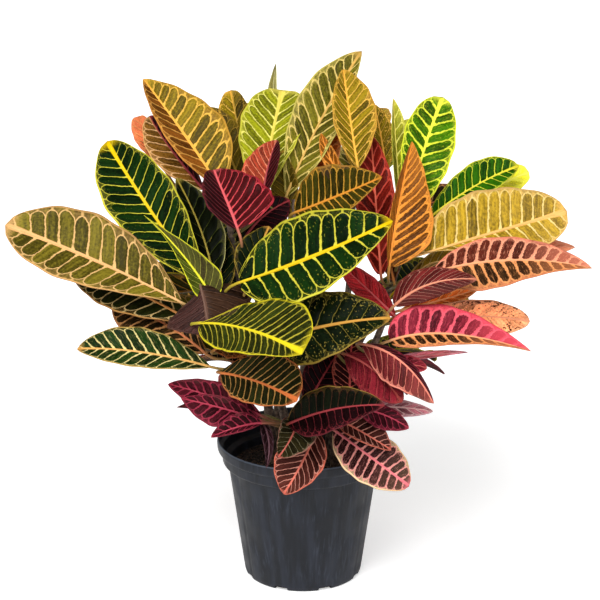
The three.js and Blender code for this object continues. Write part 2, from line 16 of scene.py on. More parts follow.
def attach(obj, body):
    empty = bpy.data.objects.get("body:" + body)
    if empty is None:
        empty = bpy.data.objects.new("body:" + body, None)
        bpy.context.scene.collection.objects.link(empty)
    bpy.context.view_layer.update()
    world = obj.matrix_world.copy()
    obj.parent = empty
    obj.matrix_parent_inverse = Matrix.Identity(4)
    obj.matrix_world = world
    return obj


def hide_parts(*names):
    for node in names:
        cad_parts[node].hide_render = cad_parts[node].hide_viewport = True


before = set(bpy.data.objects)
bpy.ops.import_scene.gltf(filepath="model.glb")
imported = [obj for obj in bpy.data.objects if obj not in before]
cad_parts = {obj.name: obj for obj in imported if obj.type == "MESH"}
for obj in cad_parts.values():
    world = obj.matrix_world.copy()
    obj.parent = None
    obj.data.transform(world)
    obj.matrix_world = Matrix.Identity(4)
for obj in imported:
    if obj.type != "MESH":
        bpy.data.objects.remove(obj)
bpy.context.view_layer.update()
scene = bpy.context.scene
print("nodes:", len(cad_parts))

# %% [markdown]
# The photograph fixes where things are seen, so the camera comes first. It looks down at the pot
# by about 18 degrees through a long lens. A place in the picture and a nearness to the camera
# give one point in space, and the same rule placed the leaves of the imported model.

# %% Camera and the rule from picture to space
PITCH = math.radians(18.5)
DISTANCE = 3.6
FOCAL_PIXELS = 2523.0
PICTURE_SIZE = 600
SENSOR_WIDTH = 36
TARGET = Vector((-0.0044, 0.0, 0.418))
VIEW_RIGHT = Vector((1, 0, 0))
VIEW_UP = Vector((0, math.sin(PITCH), math.cos(PITCH)))
TO_VIEWER = Vector((0, -math.cos(PITCH), math.sin(PITCH)))
MM = 0.001


def seen(place):
    """The point at pixel x, y of the picture, so many millimetres nearer than the pot's axis."""
    x, y, near = place
    near *= MM
    metres_per_pixel = (DISTANCE - near) / FOCAL_PIXELS
    across = VIEW_RIGHT * (x - PICTURE_SIZE / 2) * metres_per_pixel
    up = VIEW_UP * (PICTURE_SIZE / 2 - y) * metres_per_pixel
    return TARGET + across + up + TO_VIEWER * near


camera = bpy.data.objects.new("camera", bpy.data.cameras.new("camera"))
camera.data.sensor_width = SENSOR_WIDTH
camera.data.lens = SENSOR_WIDTH * FOCAL_PIXELS / PICTURE_SIZE
camera.location = TARGET + TO_VIEWER * DISTANCE
camera.rotation_euler = (math.pi / 2 - PITCH, 0, 0)
scene.collection.objects.link(camera)
scene.camera = camera
print("lens:", round(camera.data.lens, 1), "mm")

# %% [markdown]
# Stems and leaves are a table, as a gardener would describe them: which stem, where the blade
# starts, bends and ends, how wide each half is and how far it folds up. The numbers are those of
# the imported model, so every finer leaf lies on the leaf that it replaces.

# %% The plant's table
STEMS = {
    "left": [[-12, -34], [280, 402, 0], [253, 350, 34], [222, 306, 44], [211, 280, 46]],
    "top_left": [[-44, 4], [262, 360, -50], [240, 280, -8], [231, 235, 10], [226, 205, 2]],
    "top": [[0, 34], [304, 350, -60], [298, 270, -20], [295, 225, 0], [294, 200, -8]],
    "right": [[42, 10], [350, 360, -40], [384, 300, 0], [399, 262, 20], [404, 222, 6]],
    "lower_right": [[46, -38], [346, 405, 10], [364, 365, 40], [382, 326, 58], [388, 308, 62]],
    "front": [[0, -68], [297, 440, -10], [298, 425, 20], [300, 410, 36]],
    "back_left": [[-40, 52], [278, 380, -120], [262, 320, -140], [250, 250, -160], [246, 176, -176]],
    "back_right": [[40, 58], [330, 380, -120], [344, 320, -140], [352, 250, -160], [352, 180, -176]],
}

LEAVES = {}
LEAVES["left"] = [
    ["olive", [182, 303, 85], [98, 262, 74], [5, 225, 60], [15, 38, 22], [38, 48, 14], 56, 80, 60],
    ["dark_under_olive", [192, 322, 58], [130, 290, 40], [72, 274, 22], [22, 26, 10], [24, 20, 6], 52, 80, 70],
    ["orange_ribbed", [206, 354, 48], [158, 320, 32], [112, 304, 16], [24, 30, 10], [22, 22, 6], 55, 80, 60],
    ["green_low", [211, 367, 60], [140, 352, 70], [77, 349, 72], [14, 15, 14], [23, 26, 10], 52, 80, 75],
    ["green_tall", [203, 283, 62], [149, 208, 42], [107, 141, 18], [33, 37, 14], [36, 31, 22], 57, 85, 60],
    ["green_arched", [214, 282, 36], [201, 231, 12], [176, 178, -20], [14, 12, 16], [24, 22, 16], 50, 80, 70],
    ["yellow_curled", [214, 300, 92], [182, 254, 104], [144, 215, 112], [16, 0, 6], [23, 10, 22], 20, 70, 140],
    ["maroon_back", [200, 285, 98], [206, 311, 114], [209, 336, 122], [64, 18, -14], [8, 70, -14], 45, 50, 99],
    ["green_front", [238, 283, 112], [316, 255, 144], [393, 221, 172], [45, 43, 12], [46, 26, 18], 45, 65, 70],
    ["yellow_front", [199, 323, 134], [250, 330, 196], [302, 354, 276], [2, 60, 14], [34, 20, 22], 64, 60, 46],
    ["orange_low", [221, 373, 82], [258, 382, 135], [297, 401, 185], [22, 40, 14], [26, 20, 16], 62, 70, 44],
    ["green_broad", [255, 346, 92], [325, 326, 122], [391, 318, 146], [36, 34, 8], [41, 22, 12], 45, 65, 70],
    ["dark_inner", [247, 286, 96], [257, 256, 92], [269, 226, 84], [24, 20, 6], [24, 22, 6], 50, 80, 70],
    ["dark_gap", [222, 298, 22], [220, 262, 18], [219, 228, 14], [14, 14, 6], [16, 16, 6], 50, 80, 70],
    ["dark_low", [214, 350, 70], [238, 342, 92], [268, 345, 112], [16, 18, 6], [14, 16, 8], 50, 80, 70],
]
LEAVES["top_left"] = [
    ["gold_tall", [222, 190, 10], [180, 129, -25], [143, 79, -62], [19, 13, 30], [49, 30, 10], 42, 80, 75],
    ["brown_half", [204, 190, -25], [173, 152, -55], [149, 116, -88], [19, 22, 10], [14, 14, 20], 50, 80, 60],
    ["orange_stub", [160, 162, -80], [148, 139, -94], [139, 116, -110], [11, 13, 8], [12, 10, 8], 55, 70, 38],
    ["dark_behind", [240, 182, -60], [224, 142, -88], [207, 107, -114], [22, 20, 8], [20, 22, 8], 50, 80, 70],
    ["olive_small", [246, 176, -74], [239, 134, -100], [231, 90, -126], [15, 19, 8], [16, 16, 8], 58, 80, 45],
    ["crimson_wide", [238, 230, 96], [226, 200, 58], [213, 170, 22], [20, 18, 34], [51, 34, 12], 32, 50, 56],
    ["salmon_up", [262, 202, 34], [268, 167, 20], [277, 140, 4], [29, 18, 10], [9, 11, 26], 40, 80, 75],
    ["dark_shade", [245, 304, -24], [242, 264, -38], [240, 226, -52], [16, 16, 6], [18, 18, 6], 50, 80, 70],
    ["maroon_inner", [246, 236, 20], [265, 215, 12], [290, 200, 2], [18, 16, 6], [24, 19, 8], 50, 80, 70],
]
LEAVES["top"] = [
    ["lime", [264, 196, 0], [271, 142, -58], [283, 90, -112], [34, 34, 10], [24, 32, 22], 62, 80, 38],
    ["edge_on", [278, 150, -128], [273, 104, -142], [276, 63, -158], [9, 4, 24], [4, 5, 22], 40, 80, 80],
    ["olive_inner", [292, 214, -12], [285, 184, -26], [283, 150, -36], [16, 14, 6], [14, 12, 6], 50, 80, 70],
    ["pale_high", [286, 197, -18], [318, 126, -52], [362, 51, -86], [22, 38, 12], [26, 14, 16], 55, 80, 75],
    ["orange_high", [358, 168, 36], [350, 118, -6], [343, 69, -50], [20, 14, 18], [26, 28, 12], 50, 75, 75],
    ["dark_spotted", [386, 172, -44], [381, 136, -66], [374, 104, -88], [12, 12, 6], [14, 12, 6], 50, 80, 70],
    ["orange_point", [346, 188, -10], [331, 160, -22], [321, 133, -34], [8, 8, 5], [8, 7, 5], 50, 80, 80],
    ["maroon_behind", [308, 190, -50], [321, 150, -70], [333, 107, -90], [18, 16, 8], [20, 18, 8], 50, 80, 70],
    ["orange_side", [294, 213, 30], [338, 196, 64], [382, 177, 96], [38, 30, 14], [24, 16, 8], 42, 70, 75],
]
LEAVES["right"] = [
    ["orange_upright", [389, 268, 74], [399, 204, 40], [412, 141, 4], [8, 7, 26], [41, 30, 10], 30, 75, 80],
    ["bright_upright", [408, 222, 10], [421, 160, -20], [443, 97, -48], [15, 30, 12], [33, 25, 14], 62, 80, 50],
    ["lime_narrow", [402, 226, -16], [397, 160, -32], [393, 98, -46], [6, 4, 22], [12, 15, 8], 55, 70, 80],
    ["red_upright", [381, 276, 40], [376, 204, 12], [371, 134, -16], [24, 18, 12], [20, 18, 14], 56, 60, 80],
    ["green_right", [425, 222, -12], [470, 189, -16], [519, 166, -18], [17, 25, 10], [14, 12, 12], 60, 80, 60],
    ["yellow_tip", [455, 216, -52], [492, 190, -56], [529, 172, -60], [15, 18, 8], [12, 14, 8], 60, 80, 40],
    ["golden", [412, 257, 62], [490, 234, 56], [567, 211, 46], [48, 42, 12], [-6, 44, 10], 50, 70, 50],
    ["salmon_long", [432, 273, 88], [510, 260, 82], [592, 268, 72], [25, 22, 14], [39, 8, 12], 42, 70, 75],
    ["salmon_tip", [480, 256, 15], [530, 249, 12], [575, 247, 8], [11, 10, 14], [10, 9, 14], 50, 80, 80],
    ["rust_gap", [394, 282, 32], [388, 250, 14], [384, 216, -4], [11, 11, 6], [11, 11, 6], 50, 80, 70],
]
LEAVES["lower_right"] = [
    ["pink_long", [389, 341, 104], [450, 334, 98], [531, 351, 88], [36, 20, 10], [18, 3, 12], 44, 50, 80],
    ["peach_spotted", [398, 322, 66], [465, 316, 52], [530, 321, 38], [15, 18, 12], [22, 18, 12], 60, 80, 55],
    ["peach_strip", [398, 311, 44], [438, 301, 32], [478, 289, 18], [8, 8, 5], [9, 8, 5], 50, 80, 70],
    ["rose_arched", [394, 306, 106], [430, 284, 122], [477, 279, 128], [20, 14, -8], [14, 16, -16], 40, 60, 70],
    ["crimson_back", [396, 317, 72], [368, 290, 58], [340, 264, 44], [12, 12, 10], [14, 13, 10], 50, 80, 70],
    ["red_drooping", [362, 344, 98], [402, 362, 136], [434, 403, 142], [7, 6, -10], [27, 25, -14], 45, 70, 70],
    ["pink_edge_on", [380, 362, 20], [430, 355, 15], [468, 352, 10], [5, 4, 3], [3, 2, 3], 40, 80, 80],
    ["pink_cell", [385, 365, 50], [406, 364, 48], [427, 368, 45], [9, 9, 6], [8, 8, 6], 50, 80, 60],
    ["dark_cell", [372, 364, 70], [392, 373, 72], [412, 383, 74], [12, 12, 5], [12, 8, 5], 50, 80, 60],
    ["crimson_plain", [345, 354, 92], [376, 372, 106], [402, 402, 114], [12, 14, 8], [24, 22, 10], 55, 70, 55],
    ["grey_pink", [350, 407, 55], [392, 407, 56], [433, 411, 52], [9, 8, 12], [9, 9, 12], 50, 80, 70],
    ["maroon_striped", [350, 402, 62], [350, 370, 52], [352, 338, 42], [20, 16, 10], [26, 24, 10], 50, 70, 60],
]
LEAVES["front"] = [
    ["maroon_broad", [288, 424, 95], [335, 409, 135], [385, 405, 165], [26, 22, 10], [24, 16, 14], 42, 70, 70],
    ["dark_up", [308, 404, 40], [322, 378, 35], [340, 350, 25], [20, 20, 6], [22, 20, 6], 50, 70, 60],
    ["crimson_side", [355, 408, 92], [382, 414, 98], [409, 428, 102], [8, 10, 5], [14, 14, 5], 55, 80, 70],
    ["rust_side", [333, 417, 70], [362, 432, 92], [391, 450, 104], [20, 18, 6], [10, 8, 8], 50, 70, 70],
    ["pink_rimmed", [334, 430, 52], [372, 458, 72], [409, 486, 76], [24, 28, 12], [27, 24, 16], 50, 70, 60],
    ["red_over_rim", [316, 432, 58], [301, 465, 78], [284, 494, 80], [26, 14, 12], [28, 28, 16], 50, 65, 70],
    ["green_mottled", [298, 418, 66], [291, 438, 96], [278, 457, 112], [26, 18, 14], [18, 14, 18], 45, 70, 65],
    ["purple_folded", [262, 421, 56], [269, 443, 76], [266, 468, 84], [6, 4, 12], [7, 5, 12], 45, 80, 80],
    ["crimson_left", [262, 416, 55], [213, 397, 52], [168, 384, 46], [21, 13, 12], [18, 14, 10], 50, 80, 75],
    ["crimson_second", [262, 421, 68], [225, 409, 70], [181, 398, 66], [16, 21, 8], [12, 12, 8], 56, 80, 90],
    ["crimson_third", [262, 423, 82], [238, 427, 88], [211, 437, 92], [5, 5, 8], [17, 11, 8], 50, 80, 70],
    ["maroon_left", [240, 410, 32], [210, 405, 28], [177, 407, 24], [5, 4, 8], [6, 6, 8], 50, 80, 90],
]

FAR_LEAVES = {
    "back_left": [
        [236, 118, -8, 150, 70, 40], [258, 136, 4, 150, 78, 32], [300, 88, 6, 175, 78, 40],
        [330, 146, 10, 195, 86, 46], [362, 196, 12, 195, 86, 46], [402, 112, 20, 195, 88, 48],
        [440, 162, 26, 205, 90, 44], [478, 96, 24, 190, 86, 40], [508, 142, 34, 195, 86, 34],
        [526, 96, 34, 170, 78, 26],
    ],
    "back_right": [
        [240, 48, -6, 155, 72, 40], [268, 22, 2, 160, 74, 36], [306, 74, 8, 180, 80, 42],
        [338, 30, 12, 180, 86, 46], [372, -12, 12, 160, 84, 38], [410, 58, 22, 200, 88, 46],
        [446, 12, 24, 200, 88, 42], [482, 80, 26, 190, 86, 40], [508, 36, 34, 190, 84, 34],
        [524, 76, 34, 165, 76, 26],
    ],
    "top_left": [
        [300, 150, 0, 150, 70, 34], [372, 182, 8, 150, 70, 34], [410, 165, 14, 155, 72, 34],
        [450, 120, 20, 140, 66, 28],
    ],
    "top": [
        [366, 100, 8, 110, 56, 24], [412, 80, 14, 120, 60, 26],
    ],
    "right": [
        [300, 40, 0, 150, 70, 34], [366, -12, 10, 140, 66, 28], [400, 50, 14, 150, 70, 32],
        [440, 0, 22, 150, 70, 30],
    ],
    "left": [
        [312, 154, 8, 96, 56, 20], [330, 165, 6, 140, 66, 30],
    ],
    "lower_right": [
        [250, 52, 0, 105, 56, 28], [300, 44, 6, 110, 56, 26],
    ],
}
print("leaves:", sum(len(rows) for rows in [*LEAVES.values(), *FAR_LEAVES.values()]))

# %% [markdown]
# A stem goes straight down into the soil and curves above it. A leaf's midrib is one curve through
# its three places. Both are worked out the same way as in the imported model, point by point.

# %% Stems and midribs as curves
SOIL_TOP = 0.168
ROOT_DEPTH = 0.07
STEM_ROOT_RADIUS = 0.007
STEM_TIP_RADIUS = 0.0034
COLLAR_RISE = 0.016
LEAN_BACK = 0.35
STALK_DROP = 0.5
FAR_STALK_OUT = 0.026
FAR_STALK_UP = 0.014
FAR_MIDDLE = 0.52
FAR_TILT = 0.35
FAR_FOLD = 14
FAR_SHAPE = (0.48, 0.8, 0.65)


def catmull(points, steps):
    """Points along a centripetal Catmull-Rom curve through the given ones."""
    first = points[0] * 2 - points[1]
    last = points[-1] * 2 - points[-2]
    knots = [first, *points, last]
    count = len(points) - 1
    path = []
    for i in range(steps + 1):
        at = min(i / steps * count, count - 1e-6)
        j = int(at)
        a, b, c, d = knots[j : j + 4]
        t0 = 0.0
        t1 = t0 + (b - a).length ** 0.5
        t2 = t1 + (c - b).length ** 0.5
        t3 = t2 + (d - c).length ** 0.5
        t = t1 + (at - j) * (t2 - t1)
        ab = a.lerp(b, (t - t0) / (t1 - t0))
        bc = b.lerp(c, (t - t1) / (t2 - t1))
        cd = c.lerp(d, (t - t2) / (t3 - t2))
        abc = ab.lerp(bc, (t - t0) / (t2 - t0))
        bcd = bc.lerp(cd, (t - t1) / (t3 - t1))
        path.append(abc.lerp(bcd, (t - t1) / (t2 - t1)))
    return path


def stem_path(root, *places, steps=27):
    x, y = root[0] * MM, root[1] * MM
    collar = Vector((x, y, SOIL_TOP + COLLAR_RISE))
    foot = [Vector((x, y, SOIL_TOP + rise)) for rise in (-ROOT_DEPTH, COLLAR_RISE / 2)]
    return foot + catmull([collar, *map(seen, places)], steps)


STEM_PATHS = {name: stem_path(*stem) for name, stem in STEMS.items()}


def stem_at(path, height):
    i = max(next((k for k, p in enumerate(path) if p.z > height), 0), 1)
    low, high = path[i - 1], path[i]
    return low.lerp(high, (height - low.z) / (high.z - low.z))


def midrib(base, middle, tip):
    control = middle * 2 - base * 0.5 - tip * 0.5

    def at(s):
        point = base * (1 - s) ** 2 + control * 2 * s * (1 - s) + tip * s**2
        along = (control - base) * (1 - s) + (tip - control) * s
        return point, along.normalized()

    return at


def stalk_root(path, base):
    nearest = min(path[2:], key=lambda p: (p - base).length)
    height = nearest.z - STALK_DROP * (nearest - base).length
    return stem_at(path, min(max(height, path[2].z + 0.01), path[-1].z - 0.002))


def near_leaf(stem, row, index):
    name, base, middle, tip, left, right, belly, base_taper, tip_taper = row
    curve = midrib(seen(base), seen(middle), seen(tip))
    return {
        "name": name,
        "stem": stem,
        "curve": curve,
        "facing": TO_VIEWER,
        "lean_back": LEAN_BACK,
        "halves": (left, right),
        "unit": (DISTANCE - middle[2] * MM) / FOCAL_PIXELS,
        "shape": (belly / 100, base_taper / 100, tip_taper / 100),
        "phase": 1.7 * index,
        "root": stalk_root(STEM_PATHS[stem], curve(0)[0]),
    }


def far_leaf(stem, row, index):
    height, heading, rise, length, width, droop = row
    turn, lift = math.radians(heading), math.radians(rise)
    out = Vector((math.cos(turn), math.sin(turn), 0))
    along = out * math.cos(lift) + Vector((0, 0, math.sin(lift)))
    root = stem_at(STEM_PATHS[stem], height * MM)
    base = root + out * FAR_STALK_OUT + Vector((0, 0, FAR_STALK_UP))
    middle = base + along * FAR_MIDDLE * length * MM
    tip = base + along * length * MM - Vector((0, 0, droop * MM))
    half = [width / 2, width / 2, FAR_FOLD]
    return {
        "name": f"{stem}_{index}",
        "stem": stem,
        "curve": midrib(base, middle, tip),
        "facing": (out * -FAR_TILT + Vector((0, 0, 1))).normalized(),
        "lean_back": 0,
        "halves": (half, half),
        "unit": MM,
        "shape": FAR_SHAPE,
        "phase": 2.3 * index,
        "root": root,
    }


leaves = [near_leaf(stem, row, i) for stem, rows in LEAVES.items() for i, row in enumerate(rows)]
leaves += [far_leaf(stem, row, i) for stem, rows in FAR_LEAVES.items() for i, row in enumerate(rows)]
longest = max(leaves, key=lambda leaf: (leaf["curve"](0)[0] - leaf["curve"](1)[0]).length)
print("longest leaf:", longest["name"])

# %% [markdown]
# One croton carries many liveries at once: young leaves are green with yellow veins, older ones turn
# gold, orange, pink and at last maroon. Each livery is four colours, for the cells between the
# veins, the veins, the midrib and the margin. A leaf names one livery, or two where its halves
# differ. Then come its number of side veins and, in hundredths, how thick they are, how spotted
# it is, how far they lean towards the tip, where they begin to fork, and how much of the margin's
# colour it shows.

# %% Liveries
LIVERIES = {
    "olive": "5a5014 e2b474 eab274 d2a060", "deep": "081e03 d0c63e ecc40c d6cc3c",
    "deep_gold": "142a08 ead68c e8ac5c cca858", "deep_orange": "1c1406 d8985c e88a58 c48458",
    "ochre": "282604 cc9634 de9030 b88430", "shaded": "161a04 d8b87a e4944a bc8848",
    "night": "080c03 4c5420 b09a3c d4cc80", "dark": "081204 8c7c34 d49a42 a08434",
    "brown": "4a3c08 a88430 b08c34 8c7024", "lime": "76780f eae274 e6d45e cac440",
    "neon": "2c5600 e6ea40 f0ec48 dce034", "leek": "1e4a02 dce040 e8d838 d8d838",
    "lemon": "d4c81c f0ec50 f2ec60 e8e440", "gold": "6c5a0c ecb84e f2b446 cc983a",
    "straw": "5c5612 e8cc74 dcae58 ccbc5e", "pale": "8c7018 eed082 ecb668 e0b468",
    "yellow": "1c2406 c0b23a ecd620 dccc26", "curled": "3c4410 c0be50 ece430 eeec2c",
    "orange": "663808 f09a3c f49c3a de8c38", "peach": "f09a68 4a1c0c f0a47c f6ac7e",
    "coral": "cc6c40 e0a060 e08450 e07c50", "shell": "e07858 f8ac88 f8ae8e f4a078",
    "apricot": "b8561e f4a060 f8b078 f6a868", "salmon": "44180e f4a07c f4a280 ee8a6c",
    "pink": "5c1420 ec5c6c f08078 e44c5c", "crimson": "36080a d84a50 e4666a b02c38",
    "red": "661820 a44640 b04a44 84262c", "rust": "402006 b46c34 c87a3a 9a5426",
    "rose": "5c1c1a dc9c84 e08c6c a84c40", "wine": "2e0a10 a03448 b43c50 842638",
    "maroon": "160608 842c34 a43c40 5c1c24", "underside": "2a1a10 5c4234 624030 44291e",
    "ember": "260a0a d4705e dc5e5a c45a4a", "cream": "281212 ec9a90 f07e86 f4d0a0",
    "mottled": "201c0c 8c8464 d4685c a06c5c", "dusk": "0a0e05 4e2c1e 8e3a42 a8843c",
    "purple": "2a1618 70505a 7c545c 4c3036", "dusky": "b8707a f8d4d0 f4c8c4 dcaab0",
    "umber": "64380e d49a48 f0b44a c88838", "flame": "84301e ee8a66 f29a74 dd6248",
    "tiger": "2c1a0a e8985c f0a878 cc7c50", "carmine": "9c2428 c84c4c cc5858 b43838",
    # The petal livery is painted far lighter than the leaf's own pink: painted light, standing in for light
    # shining through the blade from behind.
    "brick": "561a1c dc7c6a ec8e76 e88c78", "backlit_petal": "f88c9e fcb0bc fcb8c0 f49cac",
    "mauve": "38201c 6c5048 6c4e40 50362e", "lantern": "1c200a d8a058 ea8044 c87440",
    "scarlet": "5a1008 cc4c3c e06a50 b43828", "toffee": "6e4a18 f0bc80 e8ae6c e0a868",
    "clay": "34140f d8907e e07460 d06a54", "reed": "a8a060 d0cc94 dcd8a4 c8c484",
}

LOOKS = {
    "olive": ("olive", 13, 20, 5, 130, 66, 20), "dark_under_olive": ("shaded", 10, 22, 0, 140, 66, 10),
    "orange_ribbed": ("deep_orange", 10, 34, 0, 240, 70, 40),
    "green_low": ("deep_gold", 12, 28, 0, 200, 82, 5), "green_tall": ("deep", 15, 15, 5, 220, 70, 10),
    "green_arched": ("night", 9, 8, 0, 140, 60, 10), "yellow_curled": ("curled", 14, 14, 0, 340, 80, 40),
    "maroon_back": ("underside+mauve", 9, 14, 0, 360, 80, 30),
    "green_front": ("deep", 11, 20, 10, 120, 70, 4), "yellow_front": ("yellow", 17, 29, 0, 480, 86, 20),
    "orange_low": ("lantern", 13, 26, 0, 340, 84, 10), "green_broad": ("dark", 9, 8, 40, 160, 66, 10),
    "dark_inner": ("dark", 7, 6, 0, 240, 70, 10), "dark_gap": ("dark", 8, 8, 0, 240, 70, 10),
    "dark_low": ("rust", 8, 12, 0, 240, 70, 20), "dark_shade": ("dark", 8, 8, 0, 240, 70, 10),
    "maroon_inner": ("maroon", 9, 10, 0, 260, 70, 20), "rust_gap": ("rust", 8, 14, 0, 240, 70, 40),
    "gold_tall": ("umber+gold", 13, 26, 10, 180, 62, 40),
    "brown_half": ("toffee+maroon", 10, 26, 0, 200, 62, 30),
    "orange_stub": ("coral", 6, 20, 0, 200, 60, 100), "dark_behind": ("brown", 9, 14, 0, 200, 60, 20),
    "olive_small": ("gold+brown", 8, 14, 30, 200, 60, 20),
    "crimson_wide": ("maroon+crimson", 10, 26, 0, 400, 80, 40),
    "salmon_up": ("flame+maroon", 10, 30, 0, 340, 80, 50), "lime": ("lime", 11, 24, 0, 300, 70, 40),
    "olive_inner": ("brown", 9, 14, 0, 240, 70, 20), "edge_on": ("reed", 8, 30, 0, 200, 60, 60),
    "pale_high": ("straw", 13, 28, 0, 260, 64, 30), "orange_high": ("gold", 12, 26, 10, 260, 66, 50),
    "dark_spotted": ("gold", 8, 16, 80, 200, 60, 30), "orange_point": ("orange", 6, 40, 0, 200, 60, 60),
    "maroon_behind": ("apricot", 9, 20, 0, 200, 60, 30), "orange_side": ("ochre", 14, 28, 0, 200, 72, 40),
    "orange_upright": ("orange", 14, 44, 0, 440, 78, 80),
    "bright_upright": ("neon", 12, 32, 10, 160, 70, 30), "lime_narrow": ("lime", 10, 24, 20, 160, 60, 80),
    "red_upright": ("scarlet", 10, 28, 10, 200, 66, 60), "green_right": ("leek", 13, 20, 0, 160, 72, 20),
    "yellow_tip": ("lemon", 8, 50, 0, 200, 60, 90), "golden": ("pale", 14, 24, 0, 140, 70, 60),
    "salmon_long": ("salmon+tiger", 14, 40, 5, 90, 66, 90), "salmon_tip": ("shell", 8, 50, 0, 140, 60, 100),
    "pink_long": ("pink+tiger", 12, 40, 0, 100, 60, 100),
    "peach_spotted": ("peach", 8, 0, 100, 140, 50, 60), "peach_strip": ("apricot", 8, 30, 40, 140, 50, 60),
    "rose_arched": ("rose", 12, 14, 0, 460, 80, 20), "crimson_back": ("carmine", 8, 12, 0, 200, 60, 40),
    "red_drooping": ("wine+brick", 11, 16, 0, 260, 70, 60),
    "pink_edge_on": ("backlit_petal", 8, 30, 0, 200, 60, 80), "pink_cell": ("pink", 6, 30, 0, 200, 60, 80),
    "dark_cell": ("wine", 6, 20, 0, 200, 60, 50), "crimson_plain": ("red", 8, 10, 0, 260, 70, 30),
    "maroon_striped": ("ember", 11, 24, 0, 240, 70, 40), "grey_pink": ("dusky", 8, 26, 0, 160, 60, 60),
    "maroon_broad": ("dusk+maroon", 13, 12, 20, 100, 64, 10), "dark_up": ("maroon", 9, 10, 0, 200, 60, 20),
    "crimson_side": ("wine", 8, 20, 0, 200, 60, 50), "rust_side": ("clay", 10, 26, 0, 200, 70, 40),
    "pink_rimmed": ("cream", 11, 34, 10, 90, 66, 50), "red_over_rim": ("clay", 10, 24, 0, 360, 74, 50),
    "green_mottled": ("mottled", 9, 14, 0, 300, 70, 30), "purple_folded": ("purple", 6, 20, 0, 200, 60, 60),
    "crimson_left": ("wine", 11, 34, 10, 160, 60, 60), "crimson_second": ("wine", 9, 30, 10, 160, 62, 50),
    "crimson_third": ("wine", 7, 30, 0, 160, 60, 50), "maroon_left": ("maroon", 7, 20, 0, 160, 60, 60),
    "right_3": ("pale", 12, 22, 0, 200, 64, 50), "right_1": ("coral", 12, 22, 0, 200, 64, 50),
}
MIDDLE_FROM = 0.29
UPPER_FROM = 0.46
LOWER_LOOKS = [
    ("maroon", 10, 18, 0, 200, 60, 40),
    ("ember", 10, 18, 10, 160, 60, 50),
    ("wine", 10, 20, 0, 160, 60, 60),
    ("salmon", 11, 24, 0, 160, 60, 60),
]
MIDDLE_LOOKS = [
    ("deep_orange", 12, 18, 0, 200, 62, 30),
    ("deep", 12, 13, 10, 160, 62, 20),
    ("ochre", 11, 22, 0, 240, 66, 40),
    ("olive", 12, 20, 0, 180, 62, 40),
]
UPPER_LOOKS = [
    ("neon", 12, 18, 10, 200, 62, 40),
    ("gold", 12, 22, 0, 240, 62, 40),
    ("lime", 12, 20, 0, 260, 64, 40),
    ("straw", 12, 22, 0, 200, 64, 50),
]


def far_look(leaf):
    """Other leaves turn from maroon at the bottom through green to gold at the top."""
    height = leaf["root"].z
    middle_up = MIDDLE_LOOKS if height < UPPER_FROM else UPPER_LOOKS
    choice = LOWER_LOOKS if height < MIDDLE_FROM else middle_up
    return choice[int(height * 1000 + len(leaf["stem"])) % len(choice)]


def linear(code):
    """An sRGB colour code as a linear colour."""
    parts = [int(code[i : i + 2], 16) / 255 for i in (0, 2, 4)]
    return [c / 12.92 if c <= 0.04045 else ((c + 0.055) / 1.055) ** 2.4 for c in parts] + [1.0]


print("liveries:", len(LIVERIES))

# %% [markdown]
# A leaf blade starts as a flat grid, which keeps its texture map: along the midrib one way, from
# margin to margin the other. Each grid point is then moved to its place: the halves rise from the
# midrib, wave and ripple, and the margins are lightly scalloped. Solidify gives the sheet its
# thickness, and the faces that it adds below take the underside's material.

# %% Leaf blades
BLADE_THICKNESS = 0.0009
BLADE_GRID = (44, 16)
BLADE_START = 0.015
CROWDING = 1.15
EDGE_WAVE = 0.003
RIPPLE = 0.0012
SCALLOP = 0.02
WAVE_PACE, RIPPLE_PACE, SCALLOP_PACE = 10, 23, 31


def outline(shape, s):
    belly, base_taper, tip_taper = shape
    if s < belly:
        return math.sin(math.pi / 2 * max(s, 0) / belly) ** base_taper
    return math.sin(math.pi / 2 * min((1 - s) / (1 - belly), 1)) ** tip_taper


def blade_station(leaf, s):
    """The midrib's point, the way out of the face, and each half's reach across and towards it."""
    point, along = leaf["curve"](s)
    side = leaf["facing"].cross(along).normalized()
    out = along.cross(side).normalized()
    reach = max(outline(leaf["shape"], s), 0.001)
    halves = []
    for sign, (at_base, at_tip, near) in zip((1, -1), leaf["halves"]):
        across = reach * (at_base + (at_tip - at_base) * s) * leaf["unit"]
        swing = math.sin(leaf["phase"] + sign + WAVE_PACE * s)
        wave = EDGE_WAVE * math.sin(math.pi * s) * swing
        lean_back = leaf["lean_back"] * sign * across * side.dot(VIEW_UP)
        halves.append((side * sign * across, reach * near * MM, wave, lean_back))
    return point, out, halves


def blade_point(station, t, s, phase):
    point, out, halves = station
    left = t >= 0
    across, near, wave, lean_back = halves[0] if left else halves[1]
    share = abs(t)
    swing = math.sin(RIPPLE_PACE * s + 2 * phase + (1 if left else 3))
    ripple = RIPPLE * swing * math.sin(math.pi * s)
    lift = near * share**1.3 + (wave + ripple) * share**2 - lean_back * share
    scallop = 1 + SCALLOP * share * math.sin(SCALLOP_PACE * s + 3 * phase + (0 if left else 2))
    return point + across * share * scallop + out * lift


def add_blade(bm, leaf):
    columns, rows = BLADE_GRID
    made = bmesh.ops.create_grid(bm, x_segments=columns, y_segments=rows, size=0.5, calc_uvs=True)
    reach = 1 - BLADE_START
    stations = [blade_station(leaf, BLADE_START + reach * i / columns) for i in range(columns + 1)]
    for vert in made["verts"]:
        i = round((vert.co.x + 0.5) * columns)
        t = 2 * vert.co.y
        t = math.copysign(abs(t) ** CROWDING, t)
        vert.co = blade_point(stations[i], t, i / columns, leaf["phase"])
    upper = {face for vert in made["verts"] for face in vert.link_faces}
    bmesh.ops.solidify(bm, geom=list(upper), thickness=BLADE_THICKNESS)
    bm.normal_update()
    for face in bm.faces:
        face.material_index = 0 if face in upper else 1
        face.smooth = True


print("grid faces a leaf:", BLADE_GRID[0] * BLADE_GRID[1])

